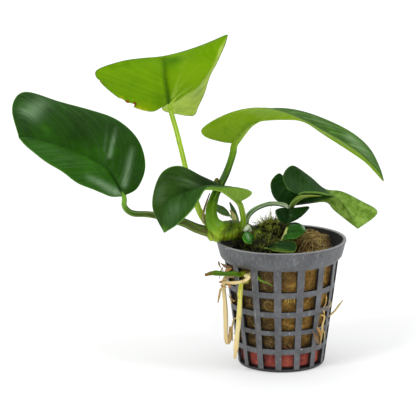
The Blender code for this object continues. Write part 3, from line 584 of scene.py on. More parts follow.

# Each blade is spanned between its midrib and its two margins, from the stalk to the tip; the margins
# start and end where the midrib does. facing turns its upper side over. The fold strokes dent the blade
# and are painted darker, painted shade; the pale strokes are a painted sheen and highlight, in places pale
# streaks; each stroke is its start, end, width and amount. A bite is its place along margin one, half its
# length as a part of it, and its depth. upper and under are the colours of its two sides, each with one
# colour for the half towards margin one and one for the half towards margin two; a spot is its centre,
# radius, soft edge and colour; end is where the pale end starts, how softly, and its two colours.
leafShapes = {
    "left_blade": {
        "mid": ((-65.5, -9, 74), (-67.5, -7.5, 77.5), (-70, -5, 81.5), (-73, -3, 85), (-78.5, -1, 88),
            (-85.5, 0, 91), (-92.5, -1, 94), (-99.5, -3, 96.5), (-104, -6, 98.5), (-108, -9, 99)),
        "one": ((-59.5, -6, 77), (-56.5, 1, 85), (-59.5, 8, 94.5), (-68.5, 13, 102), (-81, 16, 106.5),
            (-94, 16, 110), (-107.5, 12, 114.5), (-111.5, 2, 109.5)),
        "two": ((-70, -10, 74), (-74, -12, 76), (-78, -14, 78), (-83, -16, 81), (-88.5, -17, 85),
            (-94, -16.5, 88.5), (-99.5, -15, 92.5), (-105, -12, 96)),
        "swell": (1.8, 1.2), "veins": 15, "sweep": 0.42, "ripple": 0.35, "facing": 1, "foldDepth": 0.5,
        "folds": (((-66.5, -7.5, 76.5), (-78, 2, 90), 0.6, 0.45), ((-67, -8, 76.5), (-66, 4, 88), 0.5, 0.3),
            ((-70, -8, 79), (-84, -4, 90), 0.5, 0.3)),
        "bloom": (((-104.5, 4.3, 106), (-98.7, 14, 110.8), 4, 0.45),
            ((-107, 3, 107), (-103, 3, 103), 2.5, 0.45), ((-68.6, -9.2, 75.8), (-80, -11.6, 82), 1.6, 0.9),
            ((-67, -9, 75.2), (-75, -9.8, 80), 1.0, 0.7),
            ((-65.4, -6, 77.5), (-62.2, 4.3, 90.8), 1.3, 0.75),
            ((-71.5, 0, 88.5), (-69, 9.7, 98.5), 0.9, 0.55),
            ((-73.5, 1.5, 91), (-72.5, 9.7, 100), 0.7, 0.35)),
        "upper": {"one": "1f4604", "two": "285a06", "vein": "2f6412", "veinMix": 0.25, "rib": "0f2c02",
            "ribMix": 0.75, "ribFade": (0.1, 0.45), "halvesBlend": 0.45, "edge": "4a7c20", "dark": "143202",
            "light": "306a0a", "bloom": "8eac86"},
        "under": {"one": "5f8f2c", "two": "5f8f2c", "vein": "8ab04c", "veinMix": 0.4, "rib": "93b356",
            "ribMix": 0.9, "edge": "88aa48", "dark": "4b7722", "light": "79a53a"},
    },
    "top_blade": {
        "mid": ((-46.5, 4, 111), (-44.5, 3, 112), (-42, 2, 113.5), (-39, 1, 115.5), (-35, 0, 118),
            (-32, -2, 122), (-29, -4, 126.5), (-27, -6, 130.5), (-25.5, -8, 135.5), (-22, -10, 141)),
        "one": ((-49.5, 2, 109), (-54, -1, 108), (-63, -6, 112), (-73, -12, 121), (-75.5, -15, 127.5),
            (-65, -18, 131.5), (-48.5, -20, 133.5), (-33.5, -17, 137.5)),
        "two": ((-49.5, 9, 107.5), (-45.5, 13, 105), (-36.5, 15, 103), (-34.5, 14, 108), (-31, 11, 115),
            (-28.5, 6, 123), (-26, 0, 129.5), (-23, -6, 136)),
        "swell": (1.5, 1.0), "veins": 13, "sweep": 0.5, "ripple": 0.4, "facing": 1, "foldDepth": 1.4,
        "bites": ((0.329, 0.017, 2.0), (0.36, 0.014, 0.9), (0.475, 0.009, 0.5)),
        "folds": (((-46.6, 1, 111.2), (-46.9, -2.8, 117.2), 0.9, 0.95),
            ((-46.9, -2.8, 117.2), (-47.6, -5.4, 121.9), 0.9, 0.85),
            ((-47.6, -5.4, 121.9), (-47.7, -8.5, 126.3), 0.9, 0.7),
            ((-47.7, -8.5, 126.3), (-47.8, -12, 129.6), 0.9, 0.6),
            ((-47.8, -12, 129.6), (-47.9, -18.5, 132.8), 1.0, 0.55),
            ((-46.6, 1, 111.2), (-62, -8, 121), 0.5, 0.2), ((-46.6, 1, 111.2), (-60, -9, 126), 0.5, 0.2)),
        "bloomFade": 0.3,
        "bloom": (((-45, 0.1, 113.5), (-43.3, -2.2, 117.9), 0.4, 0.7),
            ((-43.3, -2.2, 117.9), (-41.1, -4.9, 123.3), 0.45, 0.5),
            ((-41.1, -4.9, 123.3), (-39.2, -9.4, 129.2), 0.5, 0.3),
            ((-44.8, 0.6, 113), (-41.9, -1.8, 118), 0.4, 0.8),
            ((-41.9, -1.8, 118), (-38.3, -3.6, 122.3), 0.5, 0.6),
            ((-38.3, -3.6, 122.3), (-34.6, -5.6, 126.6), 0.55, 0.4),
            ((-44.3, 1.5, 112.4), (-40.5, 0.1, 115.8), 0.45, 0.85),
            ((-40.5, 0.1, 115.8), (-36.4, -0.9, 118.8), 0.6, 0.6),
            ((-36.4, -0.9, 118.8), (-32.3, -3.3, 124), 0.7, 0.3),
            ((-47, -5, 110.5), (-62, -6.6, 109.6), 1.8, 0.45)),
        # half two is painted pale, painted light for the half in direct light; half one is a deeper green,
        # painted shade for the backlit half
        "upper": {"one": "86b01c", "two": "9ab85a", "vein": "b6cf80", "veinMix": 0.3, "rib": "9cbb3c",
            "ribMix": 0.5, "edge": "7f9f3a", "dark": "6a9618", "light": "a8c46a"},
        "under": {"one": "7cae00", "two": "d0ea60", "vein": "98c430", "veinMix": 0.3, "rib": "9cc61c",
            "ribMix": 0.6, "edge": "4c7404", "dark": "4a8400", "darkMix": 0.45, "light": "8cbc04",
            "bloom": "c4e058", "creaseShade": "2c5600", "grain": 0.0,
            "spots": (((-44, -12, 129.5), 0, 7, "4c8400"), ((-35, -4, 122), 0, 14, "90be0c"),
            ((-54.8, -3.9, 113.8), 0.35, 0.5, "c8cc7c"), ((-58, -3, 106), 2.5, 7.0, "90b400"),
            ((-56.6, -2.2, 108.5), 0.3, 1.8, "c0c81c"), ((-59, -3.6, 109.4), 0.4, 1.8, "ccc81c"),
            ((-66, -7.6, 114.2), 0.3, 1.6, "c8c424"), ((-60.5, -5.1, 111.9), 0.5, 0.8, "8a3414"),
            ((-63.2, -6.5, 113.2), 0.3, 0.8, "9a4a18"), ((-73.8, -12.6, 122.2), 0.4, 0.6, "a08a3c"))},
    },
    "arching_blade": {
        "mid": ((-19.5, -2, 94.5), (-17.5, -2, 96.5), (-15.5, -1.5, 99), (-13, -1, 102), (-8.5, 0, 104),
            (1, 0, 104.5), (9.5, 0, 103.5), (18, -1, 98), (26.5, -2, 92.5), (34.5, -3, 87), (39, -4, 82.5),
            (42.5, -5, 78.5)),
        "one": ((-23.5, 2, 95.5), (-28, 6, 97.5), (-28, 9, 99.5), (-22, 12, 103), (-12.5, 13, 105.5),
            (0, 13, 106.5), (13.5, 12, 104), (28, 10, 98), (36.5, 5, 91.5), (41, 0, 83.5)),
        "two": ((-25, -5, 95.8), (-31.6, -8.6, 98.6), (-32.9, -11, 102.4), (-27, -13.6, 107),
            (-17.5, -15, 110.5), (-7.5, -15, 111.5), (4, -14, 108.5), (20.5, -13, 99), (31.5, -10, 91.5),
            (38, -7, 85)),
        "swell": (1.2, 1.2), "veins": 16, "sweep": 0.4, "ripple": 0.25, "facing": -1,
        "bloom": (((28.6, 3.8, 94.5), (38.6, -2, 84), 3.0, 0.7), ((14, 6, 102), (24, 6, 98), 2.0, 0.25)),
        "upper": {"one": "345c0c", "two": "345c0c", "vein": "6f9a44", "veinMix": 0.7, "rib": "4c8030",
            "ribMix": 0.5, "edge": "7fa03a", "dark": "244808", "light": "4c7a1c", "bloom": "84a470"},
        "under": {"one": "92b828", "two": "8cb41c", "vein": "a2c255", "veinMix": 0.5, "rib": "a9cc4a",
            "ribMix": 0.9, "edge": "9cc63a", "dark": "6a9c04", "light": "a4c640",
            "spots": (((42.5, -5, 78.5), 0.6, 2.0, "a8923c"),)},
    },
    "front_blade": {
        "mid": ((-17.5, -11, 71.5), (-19, -12, 72.5), (-22, -13, 75), (-25.5, -14.5, 77.5),
            (-30, -16, 78.5), (-35.5, -18, 78.5), (-41, -20, 77.5), (-46, -22, 75), (-49, -24, 69.5),
            (-48.5, -25, 62)),
        "one": ((-17, -9, 73.5), (-17, -8, 75.5), (-21, -8, 76.5), (-26, -9, 78.5), (-32.5, -10, 82.5),
            (-42, -11, 87), (-50, -14, 84), (-53.5, -20, 72.5)),
        "two": ((-14.5, -14, 74), (-12.5, -17, 77), (-17.5, -20, 79), (-25, -22, 80.5), (-30.5, -25, 80.5),
            (-34, -28, 76.5), (-38, -29, 71.5), (-42.5, -28, 66.5)),
        "swell": (0.8, 0.8), "veins": 12, "sweep": 0.4, "ripple": 0.45, "facing": 1,
        "bloom": (((-44, -26.5, 72), (-47.5, -24.5, 66), 3.0, 0.3),
            ((-50.5, -20, 75), (-51, -16, 80), 2.0, 0.2), ((-34, -16.2, 79.5), (-46, -15.3, 83), 0.9, 0.45),
            ((-30, -16, 78), (-43, -17.5, 80), 0.8, 0.4),
            ((-24, -12.4, 78), (-40, -12.6, 85.4), 0.35, 0.35),
            ((-26, -14, 77.8), (-44, -14, 83), 0.35, 0.3)),
        "upper": {"one": "2a4a10", "two": "2a5214", "vein": "466a2c", "veinMix": 0.18, "rib": "1a380a",
            "ribMix": 0.35, "edge": "6a9440", "dark": "1a340a", "light": "3c5c22", "bloom": "76906a",
            "spots": (((-31.7, -12.9, 80), 0, 10, "142c04"), ((-48.4, -25, 63), 0.2, 3.2, "4c7a24"))},
        "under": {"one": "6f9a2a", "two": "86ab3c", "vein": "a2c060", "veinMix": 0.4, "rib": "9cc050",
            "ribMix": 0.8, "edge": "b0cc78", "dark": "5d8a24", "light": "9aba58"},
    },
    "folded_blade": {
        "mid": ((7.5, 1, 72), (8.5, 0.5, 72.5), (10, 0, 73), (12, -0.5, 73), (15.5, -1, 73), (19, -2, 72.5),
            (22.5, -3, 72), (25.5, -4.5, 70), (27.5, -6, 67.5), (29.5, -8, 63.5), (31.5, -10, 59.5)),
        "one": ((3.5, 4, 73.5), (1, 7, 77.5), (2.5, 9, 81), (6, 10, 82.5), (12.5, 9, 78), (18.5, 6, 73),
            (25.5, 2, 73), (33, -3, 70), (40, -6, 65.5)),
        "two": ((2.5, 8.8, 73.2), (0, 13.8, 78.4), (-4, 14.6, 74.3), (-2.5, 13.6, 68), (3, 12, 65),
            (11.5, 9, 66), (19, 4, 68), (22, 0, 65.5), (26.5, -5, 62.5)),
        "swell": (0.6, 0.2), "veins": 11, "sweep": 0.4, "ripple": 0.2, "facing": 1, "keel": 0.25,
        "foldDepth": 0.5,
        "folds": (((24, -1.8, 71.6), (29.4, -7.6, 64), 0.6, 0.6), ((26, -3.5, 70), (34, -4, 67), 0.4, 0.3)),
        "upper": {"one": "7ea345", "two": "7ea345", "vein": "9cbc62", "veinMix": 0.3, "rib": "93b356",
            "ribMix": 0.8, "edge": "9cbc62", "dark": "5f8a2c", "light": "93b356",
            "end": (0.6, 0.03, "1c4410", "2f5c1c")},
        # on the under side half two is painted nearly black, painted shade, and the end is painted pale,
        # painted light where it is lit
        "under": {"one": "33542a", "two": "123f02", "vein": "567a48", "veinMix": 0.3, "rib": "7fa548",
            "ribMix": 0.8, "edge": "6f9450", "dark": "143a08", "light": "466a40", "creaseShade": "3c5c14",
            "end": (0.6, 0.03, "628428", "8eb04c")},
    },
    "dark_blade": {
        "mid": ((3, 1, 66), (3, 0.5, 65.5), (3, -0.5, 64), (3, -2, 63), (2.5, -3, 61.5), (1.5, -4, 60.5)),
        "one": ((0, 0, 66.5), (-2.5, -2, 66), (-2, -3, 64), (-1, -4, 62)),
        "two": ((7.5, 2, 66), (12, 2, 66.5), (10, 0, 64), (6, -2, 61.5)), "swell": (0.4, 0.6), "veins": 6,
        "sweep": 0.4, "ripple": 0.1, "facing": 1,
        "bloom": (((3.6, -1.2, 64), (4.4, -1.6, 62.4), 0.5, 0.35),),
        "upper": {"one": "0f2c08", "two": "143608", "vein": "24481c", "veinMix": 0.25, "rib": "0c2406",
            "ribMix": 0.5, "edge": "2c5420", "dark": "0a2004", "light": "1c4012", "bloom": "6a8c64"},
        "under": {"one": "2d5a20", "two": "2d5a20", "vein": "4c7a3a", "veinMix": 0.3, "rib": "4c7a3a",
            "ribMix": 0.6, "edge": "3b6a28", "dark": "1e4414", "light": "3b6a28"},
    },
    "glossy_blade": {
        "mid": ((1.4, -5, 55.6), (3.1, -5, 56.9), (4.8, -5, 57.6), (6.8, -5.5, 58), (8.7, -6, 58.1),
            (10.3, -6, 57.9)),
        "one": ((2.2, -2, 59.4), (4.4, 0, 60.2), (7.1, 0.5, 59.8), (9.1, -1, 59.1)),
        "two": ((0.5, -8, 54.8), (2.5, -10, 55.3), (5.4, -10.5, 55.7), (7.9, -9, 56.7)),
        "swell": (0.5, 0.6), "veins": 7, "sweep": 0.4, "ripple": 0.1, "facing": -1,
        "bloom": (((9.2, -2.5, 58.9), (9.8, -5.5, 58), 0.8, 0.9),
            ((4, -2, 59.6), (6.5, -2, 59.4), 0.7, 0.25)),
        "upper": {"one": "2c5c1c", "two": "245014", "vein": "4c8438", "veinMix": 0.3, "rib": "143c0c",
            "ribMix": 0.5, "edge": "4c8028", "dark": "153a0c", "light": "3a7424", "bloom": "cfe4c8",
            "spots": (((1.8, -3.4, 58.2), 0.5, 1.0, "b8c860"),)},
        "under": {"one": "4f8a30", "two": "4f8a30", "vein": "6aa048", "veinMix": 0.3, "rib": "6aa048",
            "ribMix": 0.5, "edge": "6aa048", "dark": "3a7020", "light": "5f9a3c"},
    },
    "rim_blade": {
        "mid": ((-6.8, -14.5, 52.8), (-4.7, -15, 53.3), (-2.3, -15.5, 53.6), (0.6, -16, 53.8),
            (3.4, -16.5, 53.6), (5.8, -17, 53.3)),
        "one": ((-4.7, -12.5, 54.2), (-2.1, -11, 54.7), (0.8, -11, 54.9), (5, -12.5, 55)),
        "two": ((-5.2, -16.5, 52.4), (-2.8, -18.5, 52.2), (0, -20, 52.3), (4.2, -21, 52.4)),
        "swell": (0.3, 0.5), "veins": 7, "sweep": 0.4, "ripple": 0.1, "facing": -1,
        "bloom": (((-5, -16.5, 52.6), (3.5, -20.8, 52.4), 0.6, 0.7),),
        "upper": {"one": "14340c", "two": "173c10", "vein": "2c5820", "veinMix": 0.3, "rib": "0f2c08",
            "ribMix": 0.4, "edge": "7a9038", "dark": "0c2408", "light": "1f4814", "bloom": "6a8430"},
        "under": {"one": "5f9030", "two": "5f9030", "vein": "7fae4c", "veinMix": 0.3, "rib": "7fae4c",
            "ribMix": 0.5, "edge": "9cba4c", "dark": "4a7a24", "light": "76a440"},
    },
    "back_blade": {
        "mid": ((-20.9, 6, 61.8), (-23, 7.5, 62.8), (-25.1, 9, 63.8), (-27.2, 10.5, 64.8),
            (-28.9, 12, 65.3)),
        "one": ((-22.6, 9, 64), (-24.7, 11, 65.1), (-26.8, 12.5, 65.4)),
        "two": ((-23, 6, 61.8), (-25.1, 7.5, 62.2), (-27.2, 9, 63.4)), "swell": (0.4, 0.4), "veins": 7,
        "sweep": 0.4, "ripple": 0.1, "facing": 1,
        "upper": {"one": "42602c", "two": "4a6834", "vein": "6f8c58", "veinMix": 0.3, "rib": "6f8c50",
            "ribMix": 0.4, "edge": "7f9460", "dark": "2f4820", "light": "5c7a48"},
        "under": {"one": "6f8c58", "two": "6f8c58", "vein": "8aa070", "veinMix": 0.3, "rib": "9cb080",
            "ribMix": 0.4, "edge": "b4c08c", "dark": "56703f", "light": "8aa070"},
    },
    "young_blade": {
        "mid": ((-15.5, -11, 59), (-15, -12.5, 57.5), (-14, -14, 56), (-13, -15, 54.5)),
        "one": ((-13, -10, 58), (-12, -11, 56)), "two": ((-16.5, -13, 57), (-15.5, -15.5, 55.5)),
        "swell": (0.3, 0.3), "veins": 5, "sweep": 0.4, "ripple": 0.05, "facing": -1,
        "bloom": (((-14.6, -12, 58.2), (-13.8, -13.6, 56.2), 0.7, 0.8),),
        "upper": {"one": "256c18", "two": "2f7a1c", "vein": "5a9a40", "veinMix": 0.3, "rib": "4a8c2c",
            "ribMix": 0.5, "edge": "6a9c34", "dark": "1a5010", "light": "3f8c28", "bloom": "d8ecd4"},
        "under": {"one": "4f9a30", "two": "5aa038", "vein": "7fc060", "veinMix": 0.3, "rib": "8fc858",
            "ribMix": 0.5, "edge": "9cc850", "dark": "3a7a24", "light": "76b850"},
    },
}
bladeMake = {
    "rows": 170, "half": 45, "smallRows": 60, "smallHalf": 22, "thick": 0.55, "edgeThick": 0.25,
    "quilt": 0.07, "groove": 0.3, "keel": 0.7, "ribWidth": 0.8, "bloomFade": 0.75, "closeTo": 0.004,
    "upperRough": 0.3, "underRough": 0.42, "cloudSize": 11.8, "cellSize": 0.77, "mottleSize": 3.85,
}


def leafSkin(name, look, rough):
    # Living leaf with a waxy skin, grown: satin, and coloured by its two halves, veins, midrib and thin pale
    # edge, with painted shade in its folds and between its veins, and pale strokes of painted sheen and
    # highlight. Its cells are a twentieth of a millimetre wide and are drawn coarser to show.
    make = bladeMake
    skin, add = newSkin(name)
    where = add("place")
    across, along, fromRib, fromEdge, veinTurn, bloom, fold = (
        add("number", attribute_name=key)
        for key in ("across", "along", "fromRib", "fromEdge", "veinTurn", "bloom", "fold"))
    cloudy = add("noise", where, size=make["cloudSize"], Detail=4, Roughness=0.6)
    cells = add("noise", where, size=make["cellSize"], Detail=2)
    wave = add("sine", veinTurn)
    fine = add("sine", add("times", veinTurn, 5.0))
    line = add("larger", add("climb", wave, 0.8, 1.0, 0, 0.6), add("climb", fine, 0.7, 1.0, 0, 0.3))
    soft = look.get("halvesBlend", 0.04)
    base = painted(add, look["one"],
                   ((across, -soft, soft), look["two"]),
                   ((cloudy, 0.5, 0.3, 0, look.get("darkMix", 0.8)), look["dark"]),
                   ((cloudy, 0.52, 0.75, 0, 0.7), look["light"]),
                   # painted shade in the hollows between the veins
                   ((wave, -0.2, -1.0, 0, 0.12), look["dark"]),
                   ((add("times", line, look["veinMix"]),), look["vein"]))
    # painted sheen: pale strokes that stand in for gloss highlights, in places pale streaks
    if "bloom" in look:
        grainy = look.get("grain", 0.45)
        streaky = add("plus", add("climb", fine, -1, 1, 1 - grainy, 1.0),
                      add("climb", cloudy, 0.3, 0.7, -grainy / 2, grainy / 2))
        base = add("mix", add("times", bloom, streaky), base, look["bloom"])
    if "end" in look:
        start, reach, darker, lighter = look["end"]
        mottled = add("noise", where, size=make["mottleSize"], Detail=5, Roughness=0.65)
        pale = painted(add, darker, ((mottled, 0.38, 0.62), lighter), ((add("times", line, 0.35),), darker))
        base = painted(add, base, ((along, start - reach, start + reach), pale))
    ribbed = add("times", add("climb", fromRib, 0.9, 0.25, 0, look["ribMix"]),
                 add("climb", along, *look.get("ribFade", (0.35, 0.8)), 1.0, 0.25))
    # painted shade along the folds, then the midrib and the thin pale edge
    base = painted(add, base,
                   ((fold,), look.get("creaseShade", look["dark"])),
                   ((ribbed,), look["rib"]),
                   ((fromEdge, 0.55, 0.2, 0, 0.85), look["edge"]))
    for centre, radius, soft, colour in look.get("spots", ()):
        away = add("distance", where, [c * mm for c in centre])
        base = painted(add, base, ((away, (radius + soft) * mm, radius * mm), colour))
    height = add("plus", add("times", wave, -0.5), add("times", fine, -0.15))
    height = add("plus", height, add("times", cells, 0.5))
    return finishSkin(skin, base, add("relief", Strength=0.5, Distance=0.15 * mm, Height=height), IOR=1.45,
                      Roughness=add("climb", cloudy, 0.3, 0.7, rough, rough + 0.12),
                      **{"Specular IOR Level": 0.08})


def strokes(points, marks, fade=0.0):
    # how much each point belongs to a set of strokes: a bell curve of the distance to the nearest stroke's
    # line, which weakens by the square of the way along it
    most = np.zeros(points.shape[:-1])
    for start, end, width, amount in marks:
        start, run = np.array(start, float), np.subtract(end, start)
        part = np.clip(((points - start) @ run) / (run @ run), 0, 1)
        away = np.linalg.norm(points - start - part[..., None] * run, axis=-1)
        most = np.maximum(most, amount * (1 - fade * part**2) * np.exp(-(away / width) ** 2))
    return most


def makeBlade(name, shape):
    # A ruled surface: each row runs straight from the midrib to a margin. It is then swelled along its own
    # normal by 4s(1-s), rippled towards the margins and quilted by a sine across the veins; the veins
    # leave the midrib and sweep forward by a power of s. Two copies, half a thickness apart, close it.
    make = bladeMake
    small = len(shape["mid"]) < 8
    rows, half = (make["smallRows"], make["smallHalf"]) if small else (make["rows"], make["half"])
    low, high = make["closeTo"], 1 - make["closeTo"]
    first, *_, last = shape["mid"]
    mid, one, two = (softened(smoothPath(points, rows, low, high), 3) for points in (
        shape["mid"], (first, *shape["one"], last), (first, *shape["two"], last)))
    s = np.concatenate([-np.linspace(1, 0, half + 1)[:-1] ** 0.9, np.linspace(0, 1, half + 1) ** 0.9])
    t = np.linspace(low, high, rows)
    for middle, reach, depth in shape.get("bites", ()):  # bitten out of margin one, each a parabola along it
        one = one + unit(mid - one) * (depth * np.clip(1 - ((t - middle) / reach) ** 2, 0, 1))[:, None]
    t = t[:, None]
    margin = np.where((s < 0)[None, :, None], one[:, None], two[:, None])
    out = np.abs(s)[None, :]
    surface = mid[:, None] + (margin - mid[:, None]) * out[..., None]
    width = np.linalg.norm(margin - mid[:, None], axis=-1)
    normal = np.cross(np.gradient(surface, axis=0), np.gradient(surface, axis=1))
    normal = unit(softened(unit(normal), 5)) * shape["facing"]
    bloom = strokes(surface, shape.get("bloom", ()), shape.get("bloomFade", make["bloomFade"]))
    # the fold strokes dent the blade here, and the same amounts paint it darker in the skin as shade
    fold = strokes(surface, shape.get("folds", ()))
    swell = np.where(s < 0, shape["swell"][0], shape["swell"][1])[None, :] * 4 * out * (1 - out)
    opening = np.sin(np.pi * t) ** 0.7
    lean = t - shape["sweep"] * out**1.25 * (1 - 0.55 * t)
    lean = lean + 0.014 * np.sin(lean * 31 + 1) + 0.008 * np.sin(lean * 67 + np.sign(s))
    veinTurn = 2 * math.pi * shape["veins"] * lean
    fromRib, fromEdge = width * out, width * (1 - out)
    quiet = np.clip(fromRib / 3, 0, 1) * np.clip(fromEdge / 2.5, 0, 1)
    ripple = shape["ripple"] * out**2 * np.sin(t * 21 + np.sign(s) * 1.3) * opening
    lift = (swell * opening - make["quilt"] * np.sin(veinTurn) * quiet + shape["facing"] * ripple
            - shape.get("foldDepth", 0) * fold)
    surface = surface + normal * lift[..., None]
    thick = make["edgeThick"] + (make["thick"] - make["edgeThick"]) * (1 - out**3)
    onRib = np.exp(-(fromRib / make["ribWidth"]) ** 2)
    groove = make["groove"] * onRib * (1 - 0.6 * t)
    keel = shape.get("keel", make["keel"]) * onRib * (1 - 0.85 * t) * (0.4 if small else 1)
    upperSheet = surface + normal * (thick / 2 - groove)[..., None]
    underSheet = surface - normal * (thick / 2 + keel)[..., None]
    columns = len(s)
    cap = np.arange(columns - 1)
    near = np.stack([cap, 2 * columns - 1 - cap, 2 * columns - 2 - cap, cap + 1], -1)
    faces = [ringFaces(rows, 2 * columns, capped=False)[0], near, near[:, ::-1] + (rows - 1) * 2 * columns]
    if shape["facing"] > 0:
        faces = [f[:, ::-1] for f in faces]
    part = (np.tile(np.arange(2 * columns), rows - 1) >= columns).astype(int)
    numbers = {"across": s[None], "along": t, "fromRib": fromRib, "fromEdge": fromEdge, "veinTurn": veinTurn,
               "bloom": bloom, "fold": np.clip(fold, 0, 0.8)}
    for key, value in numbers.items():
        value = np.broadcast_to(value, (rows, columns))
        numbers[key] = np.concatenate([value, value[:, ::-1]], axis=1)
    skins = [leafSkin(name + "Upper", shape["upper"], make["upperRough"]),
             leafSkin(name + "Under", shape["under"], make["underRough"])]
    makePiece(titled(name), np.concatenate([upperSheet, underSheet[:, ::-1]], axis=1), faces, skins,
              [name], numbers, [part, np.zeros(2 * len(near))])


for bladeName, bladeShape in leafShapes.items():
    makeBlade(bladeName, bladeShape)
print("blades made")

rhizomeMake = {
    "route": ((-31.6, -7.2, 57.9, 3.2), (-28, -7, 58.1, 4.2), (-24.5, -6.3, 58.2, 4.2), (-20, -5, 58.3, 4.3),
              (-15, -4, 57.2, 3.8), (-9, -2.5, 54, 3.2), (-3, -1, 51.2, 2.8), (2.5, 0, 50, 2.2)),
    "scars": 8, "scarDepth": 0.25, "scarPower": 14, "bump": 0.12, "endRound": 0.07,
    "rings": 150, "around": 48, "seed": 31,
    "greens": ((0.32, "2c4404"), (0.5, "7c9c14"), (0.68, "c0dc34")), "torn": "6a5a1e", "mossy": "2c3a0c",
    "flecks": "8a5a24", "cloudSize": 4.17, "patchSize": 2.08, "fleckSize": 1.25,
}
